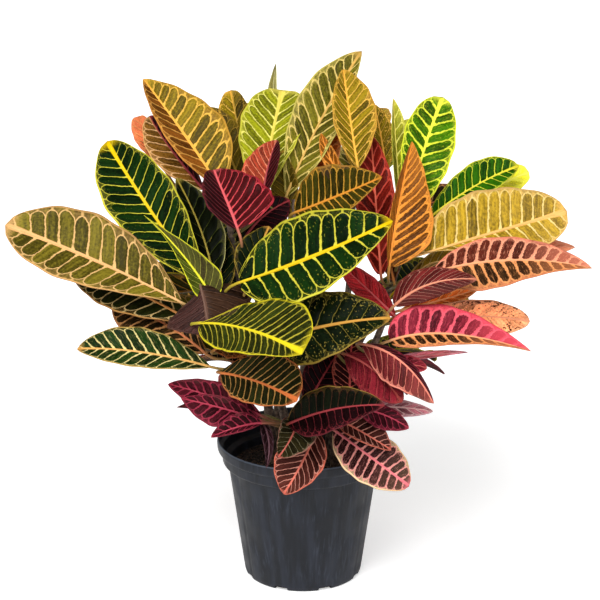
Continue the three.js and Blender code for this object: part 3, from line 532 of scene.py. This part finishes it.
# %% [markdown]
# A round bar is one ring of edges, extruded again and again along a path while its radius changes.
# The same helper makes woody stems, leaf stalks and the raised midrib that a stalk runs on into.

# %% Round bars
STALK_STEPS = 6
STALK_BEND = 0.45
RIB_STEPS = 12
RIB_FROM, RIB_LENGTH = 0.04, 0.88


def add_bar(bm, path, radii, sides, material):
    across = Vector((1, 0, 0))
    first = bmesh.ops.create_circle(bm, segments=sides, radius=1)["verts"]
    spokes = [vert.co.copy() for vert in first]
    ring = first
    rings = []
    faces = []
    for i, (centre, radius) in enumerate(zip(path, radii)):
        along = (path[min(i + 1, len(path) - 1)] - path[max(i - 1, 0)]).normalized()
        across = (across - along * across.dot(along)).normalized()
        other = along.cross(across)
        if i:
            edges = list({e for v in ring for e in v.link_edges if e.other_vert(v) in ring})
            made = bmesh.ops.extrude_edge_only(bm, edges=edges)["geom"]
            faces += [g for g in made if isinstance(g, bmesh.types.BMFace)]
            old = ring
            ring = [next(e.other_vert(v) for e in v.link_edges if e.other_vert(v) in made) for v in old]
        for vert, spoke in zip(ring, spokes):
            vert.co = centre + (across * spoke.x + other * spoke.y) * radius
        rings.append(ring)
    for end in (first, ring):
        edges = list({e for v in end for e in v.link_edges if e.other_vert(v) in end})
        faces += bmesh.ops.contextual_create(bm, geom=edges)["faces"]
    bmesh.ops.recalc_face_normals(bm, faces=faces)
    for face in faces:
        face.material_index = material
        face.smooth = True
    return rings


def stalk_path(leaf):
    base, along = leaf["curve"](0)
    root = leaf["root"]
    bend = base - along * STALK_BEND * (root - base).length
    points = []
    for i in range(STALK_STEPS + 1):
        u = i / STALK_STEPS
        points.append(root * (1 - u) ** 2 + bend * 2 * u * (1 - u) + base * u**2)
    return points


def rib_path(leaf):
    places = [RIB_FROM + RIB_LENGTH * i / RIB_STEPS for i in range(RIB_STEPS + 1)]
    return [leaf["curve"](place)[0] for place in places]


print("bars ready")

# %% [markdown]
# Each leaf is a piece of its own, with a seed that gives it a pattern of its own. Its colours
# travel as attributes on its points: one material then serves every livery.

# %% Leaf pieces
def to_object(bm, name):
    mesh = bpy.data.meshes.new(name)
    bm.to_mesh(mesh)
    bm.free()
    made = bpy.data.objects.new(name, mesh)
    scene.collection.objects.link(made)
    return made


def finish_piece(bm, name, materials, node):
    piece = to_object(bm, name)
    for material in materials:
        piece.data.materials.append(material)
    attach(piece, "root")
    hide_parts(node)
    return piece


upper_skin = bpy.data.materials.new("leaf upper face")
under_skin = bpy.data.materials.new("leaf underside")
rib_skin = bpy.data.materials.new("leaf midrib and stalk")
COLOUR_LAYERS = ("ground", "vein", "rib", "margin")
POINT_LAYERS = (*COLOUR_LAYERS, "numbers", "habit")
STALK_GREEN = "6c6634"
STALK_COLOUR_KEPT = 0.7
STALK_RADIUS = 0.0021
RIB_TAPER = 0.0015
STALK_SIDES = 8


def paint(bm, leaf):
    """Give each point its livery's colours, blended across the midrib where the halves differ."""
    names, veins, *habits = LOOKS.get(leaf["name"]) or far_look(leaf)
    width, spots, lean, fork, band = [value / 100 for value in habits]
    left, right = [LIVERIES[name].split() for name in (names.split("+") * 2)[:2]]
    *layers, numbers, habit = [bm.verts.layers.float_color[name] for name in POINT_LAYERS]
    uv = bm.loops.layers.uv["blade"]
    for vert in bm.verts:
        across = vert.link_loops[0][uv].uv.y
        blend = min(max((across - 0.47) / 0.06, 0), 1)
        for layer, of_left, of_right in zip(layers, left, right):
            vert[layer] = Vector(linear(of_right)).lerp(Vector(linear(of_left)), blend)
        vert[numbers] = (veins / 20, width, spots, leaf["phase"] % 1)
        vert[habit] = (lean / 8, fork, band, 1)


def dull_stalk(bm, rings):
    """Fade the midrib's colour to a dull green along the stalk, from the blade to the stem."""
    green = Vector(linear(STALK_GREEN))
    for layer in (bm.verts.layers.float_color["rib"], bm.verts.layers.float_color["vein"]):
        for i, ring in enumerate(rings):
            for vert in ring:
                vert[layer] = green.lerp(vert[layer], (i / len(rings)) ** 2 * STALK_COLOUR_KEPT)


for leaf in leaves:
    bm = bmesh.new()
    bm.loops.layers.uv.new("blade")
    for name in POINT_LAYERS:
        bm.verts.layers.float_color.new(name)
    add_blade(bm, leaf)
    stalk = stalk_path(leaf)
    radii = [STALK_RADIUS] * len(stalk)
    radii += [STALK_RADIUS - RIB_TAPER * i / RIB_STEPS for i in range(RIB_STEPS + 1)]
    rings = add_bar(bm, stalk + rib_path(leaf), radii, STALK_SIDES, 2)
    paint(bm, leaf)
    dull_stalk(bm, rings[: len(stalk)])
    finish_piece(
        bm,
        "leaf_" + leaf["name"],
        (upper_skin, under_skin, rib_skin),
        "leafy_stem_" + leaf["stem"],
    )
print("leaf pieces:", len(leaves))

# %% [markdown]
# Old croton stems are grey-brown and ringed where leaves have dropped. A bar with small swellings
# at those rings is closer to them than a smooth cane.

# %% Stems
STEM_SIDES = 20
RING_SWELL, RING_DIP = 0.06, 0.04

bark = bpy.data.materials.new("croton bark")
for name, path in STEM_PATHS.items():
    bm = bmesh.new()
    last = len(path) - 1
    radii = []
    for i in range(last + 1):
        share = max(i - 2, 0) / (last - 2)
        swell = 1 + (RING_SWELL if i % 2 else -RING_DIP) * (i > 2)
        radii.append((STEM_ROOT_RADIUS + (STEM_TIP_RADIUS - STEM_ROOT_RADIUS) * share) * swell)
    add_bar(bm, path, radii, STEM_SIDES, 0)
    finish_piece(bm, "stem_" + name, (bark,), "leafy_stem_" + name)
print("stems:", len(STEM_PATHS))

# %% [markdown]
# The pot is turned: its profile is drawn once as a chain of points and spun round the axis. Small
# round-overs at each step catch the light as moulded plastic does. Fine upright flutes are pressed
# into the wall, and slots are cut round the foot to let water out.

# %% Pot
POT_HEIGHT = 0.208
POT_PROFILE = [
    (0, 0), (81, 0), (83.8, 1.5), (85.4, 6), (86.6, 14), (108, 165), (109, 172), (115.5, 173.5),
    (117, 176), (118.2, 190), (123.4, 192.6), (124.4, 195), (125, 204.5), (124.2, 207.2),
    (122.8, 208), (121.6, 206.6), (121.6, 196), (116, 193), (115, 178), (107, 175), (82.6, 3), (0, 3),
]
POT_TURNS = 180
WALL_FOOT_RADIUS, WALL_FOOT, WALL_SLOPE = 0.0863, 0.014, 0.1417
FLUTES, FLUTE_DEPTH, FLUTE_SHARPNESS = 12, 0.0008, 16
FLUTED_FROM, FLUTED_TO = 0.012, 0.168
SLOTS, SLOT_SIZE, SLOT_RADIUS = 8, (0.032, 0.02, 0.012), 0.079

bm = bmesh.new()
chain = [bm.verts.new((r * MM, 0, z * MM)) for r, z in POT_PROFILE]
edges = [bm.edges.new(pair) for pair in zip(chain, chain[1:])]
bmesh.ops.bevel(
    bm, geom=chain[1:-1], offset=0.0011, segments=3, profile=0.5, affect="VERTICES",
    material=-1,
)
bmesh.ops.subdivide_edges(bm, edges=[e for e in bm.edges if e.calc_length() > 0.1], cuts=24)
bmesh.ops.spin(
    bm, geom=bm.verts[:] + bm.edges[:], cent=(0, 0, 0), axis=(0, 0, 1), angle=2 * math.pi,
    steps=POT_TURNS, use_merge=True, use_duplicate=False,
)
bmesh.ops.remove_doubles(bm, verts=bm.verts, dist=1e-5)
bmesh.ops.recalc_face_normals(bm, faces=bm.faces)
for vert in bm.verts:
    radius = math.hypot(vert.co.x, vert.co.y)
    wall = WALL_FOOT_RADIUS + (vert.co.z - WALL_FOOT) * WALL_SLOPE
    if radius > wall - 0.001 and FLUTED_FROM < vert.co.z < FLUTED_TO:
        turn = math.atan2(vert.co.y, vert.co.x) / (2 * math.pi) * FLUTES
        flute = FLUTE_DEPTH * max(0, 1 - abs(turn - round(turn)) * FLUTE_SHARPNESS)
        vert.co.x *= 1 - flute / radius
        vert.co.y *= 1 - flute / radius
for face in bm.faces:
    face.smooth = True
plastic = bpy.data.materials.new("nursery pot plastic")
pot = finish_piece(bm, "pot_shell", (plastic,), "pot")

cutters = bmesh.new()
for i in range(SLOTS):
    made = bmesh.ops.create_cube(cutters, size=1)["verts"]
    bmesh.ops.scale(cutters, vec=SLOT_SIZE, verts=made)
    bmesh.ops.translate(cutters, vec=(SLOT_RADIUS, 0, 0), verts=made)
    turn = Matrix.Rotation(math.radians((i + 0.5) * 360 / SLOTS), 3, "Z")
    bmesh.ops.rotate(cutters, cent=(0, 0, 0), matrix=turn, verts=made)
bmesh.ops.bevel(
    cutters, geom=cutters.edges[:], offset=0.0025, segments=3, profile=0.5, affect="EDGES",
    material=-1,
)
slots = to_object(cutters, "drain slots")
cut = pot.modifiers.new("drain slots", "BOOLEAN")
cut.object = slots
cut.operation = "DIFFERENCE"
cut.solver = "EXACT"
bpy.context.view_layer.update()
cut_mesh = bpy.data.meshes.new_from_object(pot.evaluated_get(bpy.context.evaluated_depsgraph_get()))
pot.modifiers.clear()
pot.data = cut_mesh
bpy.data.objects.remove(slots)
print("pot faces:", len(pot.data.polygons))

# %% [markdown]
# Potting soil is a dark crumb of peat and bark. A disc of rings is raised into a low mound and
# broken up with noise, and loose chips lie on it. The stems pass through it, as they do in a pot.

# %% Soil
MOUND_RADIUS, MOUND_RISE, SOIL_EDGE = 0.105, 0.006, 0.163
CHIPS, CHIP_LEVEL = 420, 0.1645


def mound(radius):
    """How far the soil rises above its edge, so far from the middle."""
    return MOUND_RISE * (1 - (radius / MOUND_RADIUS) ** 2)


random.seed(4)
bm = bmesh.new()
bmesh.ops.create_cone(bm, cap_ends=False, segments=96, radius1=0.0823, radius2=0.1049, depth=0.1594)
bmesh.ops.translate(bm, vec=(0, 0, 0.0833), verts=bm.verts)
rim = [e for e in bm.edges if e.is_boundary and e.verts[0].co.z > 0.1]
foot = [e for e in bm.edges if e.is_boundary and e.verts[0].co.z < 0.1]
bmesh.ops.contextual_create(bm, geom=foot)
ring = rim
for radius in [0.1 - 0.0035 * k for k in range(28)]:
    made = bmesh.ops.extrude_edge_only(bm, edges=ring)["geom"]
    ring = [g for g in made if isinstance(g, bmesh.types.BMEdge) and g.is_boundary]
    for vert in {v for e in ring for v in e.verts}:
        flat = Vector((vert.co.x, vert.co.y, 0)).normalized() * radius
        vert.co = Vector((flat.x, flat.y, vert.co.z))
bmesh.ops.contextual_create(bm, geom=ring)
for vert in bm.verts:
    radius = math.hypot(vert.co.x, vert.co.y)
    if vert.co.z > 0.1 and radius < 0.1045:
        coarse = noise.noise(vert.co * 90) * 0.0022
        fine = noise.noise(vert.co * 320) * 0.0016
        vert.co.z = SOIL_EDGE + mound(radius) + coarse + fine
bmesh.ops.recalc_face_normals(bm, faces=bm.faces)
for _ in range(CHIPS):
    radius, turn = 0.1 * math.sqrt(random.random()), random.uniform(0, 2 * math.pi)
    place = Vector((radius * math.cos(turn), radius * math.sin(turn), 0))
    place.z = CHIP_LEVEL + mound(radius) + random.uniform(-0.0005, 0.001)
    size = random.uniform(0.0012, 0.0036)
    spin = Matrix.Rotation(random.uniform(0, math.pi), 4, Vector((random.random(), 1, random.random())))
    shape = Matrix.Diagonal((size, size * random.uniform(0.4, 1), size * random.uniform(0.25, 0.6), 1))
    bmesh.ops.create_icosphere(bm, subdivisions=1, radius=1, matrix=Matrix.Translation(place) @ spin @ shape)
soil_mix = bpy.data.materials.new("potting soil")
soil = finish_piece(bm, "soil_mound", (soil_mix,), "soil")
print("soil faces:", len(soil.data.polygons))

# %% [markdown]
# Materials are node graphs. These short helpers place a node, join it to what feeds it, mix two
# colours or ease a value between two limits, so that each graph below reads like a formula.

# %% Node helpers
def feed(tree, socket, value):
    if isinstance(value, bpy.types.NodeSocket):
        tree.links.new(value, socket)
    elif value is not None:
        socket.default_value = value


def feed_all(tree, sockets, inputs):
    for key, value in inputs.items():
        feed(tree, sockets[key], value)


def node(tree, kind, inputs=None, **settings):
    made = tree.nodes.new("ShaderNode" + kind)
    for key, value in settings.items():
        setattr(made, key, value)
    feed_all(tree, made.inputs, inputs or {})
    return made


def calc(tree, operation, a, b=None, c=None):
    return node(tree, "Math", {0: a, 1: b, 2: c}, operation=operation).outputs[0]


def ease(tree, value, low, high, start=0.0, end=1.0):
    inputs = {"Value": value, "From Min": low, "From Max": high, "To Min": start, "To Max": end}
    return node(tree, "MapRange", inputs, interpolation_type="SMOOTHSTEP").outputs[0]


def mix(tree, factor, a, b, blend="MIX"):
    made = node(tree, "Mix", data_type="RGBA", blend_type=blend)
    feed(tree, made.inputs[0], factor)
    feed(tree, made.inputs[6], a)
    feed(tree, made.inputs[7], b)
    return made.outputs[2]


def new_group(name, inputs, outputs):
    tree = bpy.data.node_groups.new(name, "ShaderNodeTree")
    for label, kind in inputs:
        tree.interface.new_socket(label, in_out="INPUT", socket_type="NodeSocket" + kind)
    for label, kind in outputs:
        tree.interface.new_socket(label, in_out="OUTPUT", socket_type="NodeSocket" + kind)
    return tree, tree.nodes.new("NodeGroupInput").outputs, tree.nodes.new("NodeGroupOutput").inputs


def bumps(tree, strength, distance, height):
    inputs = {"Strength": strength, "Distance": distance, "Height": height}
    return node(tree, "Bump", inputs).outputs[0]


def object_noise(tree, scale, detail=4.0, stretch=None):
    place = node(tree, "TexCoord").outputs["Object"]
    if stretch:
        place = node(tree, "Mapping", {"Vector": place, "Scale": stretch}).outputs[0]
    inputs = {"Vector": place, "Scale": scale, "Detail": detail}
    return node(tree, "TexNoise", inputs).outputs[0]


def blank(material):
    material.use_nodes = True
    tree = material.node_tree
    tree.nodes.clear()
    shader = node(tree, "BsdfPrincipled")
    tree.links.new(shader.outputs[0], node(tree, "OutputMaterial").inputs[0])
    return tree, shader.inputs


print("helpers ready")

# %% [markdown]
# The venation is the croton's signature. Side veins leave the midrib, lean towards the tip, and
# fork near the margin, where the forks of neighbours meet in an arch. So each dark cell between
# two veins has a rounded end, with a lighter band between the arches and the thin bright edge. In
# the group, x is 0 in the middle of a cell and 1 on a vein, a is 0 on the midrib and 1 at the edge.
# One sum, a power of x plus a power of the way beyond the fork, is 1 along both vein and arch. From
# the top of each arch a short vein goes on to the margin, and where veins are thick, faint
# veinlets streak the cells too.

# %% Venation group
habits = ("Veins", "Width", "Spots", "Seed", "Lean", "Fork")
outcomes = ("Vein", "Rib", "Edge", "Band", "Spot", "Tip", "Relief", "Cell", "GrainAndSheen")
venation, given, result = new_group(
    "croton venation",
    [("Map", "Vector")] + [(name, "Float") for name in habits],
    [(name, "Float") for name in outcomes],
)


def v(operation, a, b=None, c=None):
    return calc(venation, operation, a, b, c)


def times(a, b):
    return v("MULTIPLY", a, b)


def line(value, slope, start):
    return v("MULTIPLY_ADD", value, slope, start)


def soft(value, low, high, start=0.0, end=1.0):
    return ease(venation, value, low, high, start, end)


def field(x, y, z):
    return node(venation, "CombineXYZ", {0: x, 1: y, 2: z}).outputs[0]


def cloud(vector, scale, detail=2.0):
    inputs = {"Vector": vector, "Scale": scale, "Detail": detail}
    return node(venation, "TexNoise", inputs).outputs[0]


parts = node(venation, "SeparateXYZ", {0: given["Map"]}).outputs
s = parts[0]
t = line(parts[1], 2.0, -1.0)
a = v("ABSOLUTE", t)
hand = v("SIGN", t)
seed = times(given["Seed"], 37.0)
sheet = field(times(s, 3.0), parts[1], seed)
wander = times(v("SUBTRACT", cloud(field(s, hand, seed), 6.0), 0.5), 0.5)
wiggle = times(v("SUBTRACT", cloud(sheet, 6.0), 0.5), 0.26)
breadth = v("POWER", times(times(s, 4.0), v("SUBTRACT", 1.0, s)), 0.6)
lean = times(v("POWER", a, 1.1), line(breadth, 0.65, 0.2))
lean = times(lean, given["Lean"])
phase = v("ADD", times(s, given["Veins"]), times(hand, 0.22))
phase = v("SUBTRACT", v("ADD", v("ADD", phase, wander), wiggle), lean)
x = v("ABSOLUTE", line(v("FRACT", phase), 2.0, -1.0))
number = field(v("FLOOR", phase), hand, seed)
lot = node(venation, "TexWhiteNoise", {"Vector": number}).outputs[0]
fork = line(v("SUBTRACT", lot, 0.5), 0.12, v("ADD", given["Fork"], 0.03))
beyond = v("DIVIDE", v("SUBTRACT", a, fork), line(given["Fork"], -0.66, 0.66))
past = v("MAXIMUM", beyond, 0.0)
arch = v("ADD", v("POWER", x, 2.2), v("POWER", past, 1.8))
grain = cloud(sheet, 26.0, 4.0)
ragged = times(v("SUBTRACT", grain, 0.5), line(given["Width"], 2.4, -0.1))
off = v("ABSOLUTE", v("SUBTRACT", v("ADD", arch, ragged), 1.0))
width = times(given["Width"], line(a, -0.7, 1.5))
width = times(width, soft(past, 0.0, 1.0, 1.0, 0.7))
foot = line(given["Width"], 0.6, 0.06)
foot = times(foot, soft(a, 0.04, 0.2, 1.0, 0.0))
width = v("ADD", width, foot)
vein = soft(off, v("SUBTRACT", width, 0.08), v("ADD", width, 0.06), 1.0, 0.0)
vein = times(vein, soft(cloud(sheet, 11.0), 0.28, 0.42, 0.55, 1.0))
band = times(soft(arch, 0.95, 1.15), soft(past, 0.02, 0.3))
short = times(soft(x, 0.1, 0.24, 0.8, 0.0), soft(past, 0.7, 0.9))
vein = v("MAXIMUM", vein, times(band, short))
veinlets = cloud(field(times(phase, 7.0), times(a, 1.6), seed), 2.4)
shown = line(given["Width"], 2.4, -0.5)
veinlets = times(soft(veinlets, 0.56, 0.7), shown)
vein = v("MAXIMUM", vein, veinlets)
vein = times(vein, line(a, -0.22, 1.05))
rib_edge = line(v("POWER", s, 12.0), 0.3, 0.056)
rib = soft(v("DIVIDE", a, rib_edge), 0.75, 1.3, 1.0, 0.0)
fleck = cloud(sheet, line(given["Spots"], -18.0, 32.0))
spot = line(a, 0.16, line(given["Spots"], 0.07, fleck))
spot = soft(spot, 0.75, 0.8)
edge = line(given["Width"], 0.03, line(grain, 0.02, a))
edge = soft(edge, 0.966, 0.984)
# Painted sheen: these streaks run along the cells and, through the cell colour, lay pale glossy strips in them;
# they also vary the roughness.
sheen_streak = cloud(field(times(phase, 3.0), times(a, 0.7), seed), 1.6)
bulge = v("SUBTRACT", 1.0, v("MINIMUM", times(arch, arch), 1.0))
feed_all(venation, result, {
    "Vein": vein,
    "Rib": rib,
    "Edge": edge,
    "Band": times(band, soft(grain, 0.35, 0.6, 0.55, 1.0)),
    "Spot": times(spot, soft(given["Spots"], 0.0, 0.3)),
    "Tip": soft(line(grain, 0.05, s), 0.95, 1.03),
    "Relief": times(bulge, soft(a, 0.0, 0.25)),
    "Cell": lot,
    "GrainAndSheen": line(sheen_streak, 0.5, times(grain, 0.5)),
})
print("venation nodes:", len(venation.nodes))

# %% [markdown]
# The upper face is waxy, and a bump lifts it a little between its side veins. The underside has
# the same veins but is dull and duskier, as the pigment sits nearer to the upper face.

# %% Leaf materials
def attribute(tree, name):
    return node(tree, "Attribute", attribute_name=name).outputs


def leaf_colours(tree, dull):
    layers = {name: attribute(tree, name)["Color"] for name in COLOUR_LAYERS}
    numbers = attribute(tree, "numbers")
    habit = attribute(tree, "habit")
    first = node(tree, "SeparateColor", {0: numbers["Color"]}).outputs
    second = node(tree, "SeparateColor", {0: habit["Color"]}).outputs
    inputs = {
        "Map": node(tree, "UVMap", uv_map="blade").outputs[0],
        "Veins": calc(tree, "MULTIPLY", first[0], 20.0),
        "Width": first[1],
        "Spots": first[2],
        "Seed": numbers["Alpha"],
        "Lean": calc(tree, "MULTIPLY", second[0], 8.0),
        "Fork": second[1],
    }
    net = node(tree, "Group", node_tree=venation)
    feed_all(tree, net.inputs, inputs)
    marks = net.outputs
    # The cells' colour is scaled darker and brighter per cell and in streaks: partly the leaf's own mottling,
    # partly painted sheen, bright patches standing in for gloss.
    depth = calc(tree, "MULTIPLY_ADD", marks["Cell"], 0.25, marks["GrainAndSheen"])
    depth = ease(tree, depth, 0.42, 0.86, 0.4, 2.2)
    shade = {0: layers["ground"], "Scale": depth}
    colour = node(tree, "VectorMath", shade, operation="SCALE").outputs[0]
    along = node(tree, "SeparateXYZ", {0: inputs["Map"]}).outputs[0]
    turning = calc(tree, "POWER", second[2], 4.0)
    turning = calc(tree, "MULTIPLY", turning, ease(tree, along, 0.5, 0.95, 0.0, 0.8))
    coats = [
        (turning, "margin"),
        (calc(tree, "MULTIPLY", marks["Band"], second[2]), "margin"),
        (marks["Spot"], "vein"),
        (marks["Vein"], "vein"),
        (calc(tree, "MULTIPLY", marks["Edge"], 0.9), "margin"),
        (calc(tree, "MULTIPLY", marks["Tip"], 0.7), "rib"),
        (marks["Rib"], "rib"),
    ]
    for share, layer in coats:
        colour = mix(tree, share, colour, layers[layer])
    if dull:
        colour = mix(tree, 0.35, colour, (0.075, 0.03, 0.025, 1))
    return colour, marks


tree, skin = blank(upper_skin)
colour, marks = leaf_colours(tree, False)
feed_all(tree, skin, {
    "Base Color": colour,
    "Roughness": ease(tree, marks["GrainAndSheen"], 0.3, 0.7, 0.32, 0.46),
    "Specular IOR Level": 0.05,
    "Normal": bumps(tree, 0.8, 0.0016, marks["Relief"]),
})

tree, skin = blank(under_skin)
colour, marks = leaf_colours(tree, True)
feed_all(tree, skin, {
    "Base Color": colour,
    "Roughness": 0.7,
    "Specular IOR Level": 0.1,
    "Normal": bumps(tree, 0.4, 0.0016, marks["Vein"]),
})

tree, skin = blank(rib_skin)
fibre = calc(tree, "MULTIPLY", object_noise(tree, 400.0, 2.0), 0.2)
colour = mix(tree, fibre, attribute(tree, "rib")["Color"], attribute(tree, "vein")["Color"])
feed_all(tree, skin, {"Base Color": colour, "Roughness": 0.42, "Specular IOR Level": 0.2})
print("leaf materials ready")

# %% [markdown]
# Bark is a dry grey-brown with darker scars. The pot is satin plastic, nearly black with a cold
# tint, streaked upright where the mould was drawn and scratched and dusted with dry soil; a pale
# line along its lip is a painted highlight. The soil is almost black, with paler crumbs.

# %% Bark, plastic and soil
tree, skin = blank(bark)
cracks = object_noise(tree, 180.0)
feed_all(tree, skin, {
    "Base Color": mix(tree, ease(tree, cracks, 0.35, 0.7), linear("3b2d24"), linear("7d6a58")),
    "Roughness": 0.8,
    "Normal": bumps(tree, 0.5, 0.001, cracks),
})

tree, skin = blank(plastic)
streaks = object_noise(tree, 80.0, 5.0, (1.0, 1.0, 0.02))
scratches = object_noise(tree, 320.0, 3.0, (1.0, 1.0, 0.012))
dust = object_noise(tree, 28.0, 8.0)
worn = calc(tree, "MULTIPLY", ease(tree, scratches, 0.5, 0.75), ease(tree, dust, 0.35, 0.7))
place = node(tree, "TexCoord").outputs["Object"]
height = node(tree, "SeparateXYZ", {0: place}).outputs[2]
# Painted highlight: the top of the lip is mixed towards a pale blue-grey, standing in for light on the rim.
lip_highlight = ease(tree, height, POT_HEIGHT - 0.003, POT_HEIGHT - 0.0005)
colour = mix(tree, ease(tree, streaks, 0.35, 0.65), linear("10131a"), linear("1e222c"))
colour = mix(tree, calc(tree, "MULTIPLY", worn, 0.24), colour, linear("505664"))
colour = mix(tree, calc(tree, "MULTIPLY", lip_highlight, 0.5), colour, linear("6c7888"))
feed_all(tree, skin, {
    "Base Color": colour,
    "Roughness": ease(tree, dust, 0.3, 0.7, 0.36, 0.58),
    "Specular IOR Level": 0.34,
    "Normal": bumps(tree, 0.12, 0.0004, object_noise(tree, 900.0, 2.0)),
})

tree, skin = blank(soil_mix)
crumbs = object_noise(tree, 260.0, 6.0)
feed_all(tree, skin, {
    "Base Color": mix(tree, ease(tree, crumbs, 0.48, 0.72), linear("17110d"), linear("6e5746")),
    "Roughness": 0.95,
    "Normal": bumps(tree, 0.8, 0.002, crumbs),
})
print("materials:", len(bpy.data.materials))

# %% [markdown]
# The photograph is a cut-out on white. A broad pale floor and an even white sky give that. One
# wide, soft light comes from high in front on the left, and a weaker one from the right opens the
# shadows. Both are suns, so that the floor is as bright at the back as at the front. A glow that
# only the camera sees keeps the floor white under the leaves, like a lit table.

# %% Floor and light
FLOOR_SIZE = 60
FLOOR_GLOW = 0.45
SKY_STRENGTH = 0.38

bm = bmesh.new()
bmesh.ops.create_grid(bm, x_segments=1, y_segments=1, size=FLOOR_SIZE)
floor = to_object(bm, "floor")
white = bpy.data.materials.new("studio floor")
tree, skin = blank(white)
seen_directly = node(tree, "LightPath").outputs["Is Camera Ray"]
feed_all(tree, skin, {
    "Base Color": (0.9, 0.9, 0.9, 1),
    "Roughness": 0.9,
    "Emission Color": (1, 1, 1, 1),
    "Emission Strength": calc(tree, "MULTIPLY", seen_directly, FLOOR_GLOW),
})
floor.data.materials.append(white)

world = bpy.data.worlds.new("studio")
world.use_nodes = True
world.node_tree.nodes["Background"].inputs[0].default_value = (1, 1, 1, 1)
world.node_tree.nodes["Background"].inputs[1].default_value = SKY_STRENGTH
scene.world = world
scene.view_settings.view_transform = "Standard"


def soft_light(name, towards, strength, spread):
    lamp = bpy.data.lights.new(name, "SUN")
    lamp.energy = strength
    lamp.angle = math.radians(spread)
    holder = bpy.data.objects.new(name, lamp)
    holder.rotation_euler = Vector(towards).to_track_quat("-Z", "Y").to_euler()
    scene.collection.objects.link(holder)


soft_light("key", (0.35, 0.95, -1.1), 3.0, 40)
soft_light("fill", (-0.8, 1.2, -0.7), 0.7, 50)
print("lights:", len(bpy.data.lights))

# %% [markdown]
# Last, the scene is brought up to date. The finer leaves lie on the solids that they stand for.

# %% Finish
bpy.context.view_layer.update()
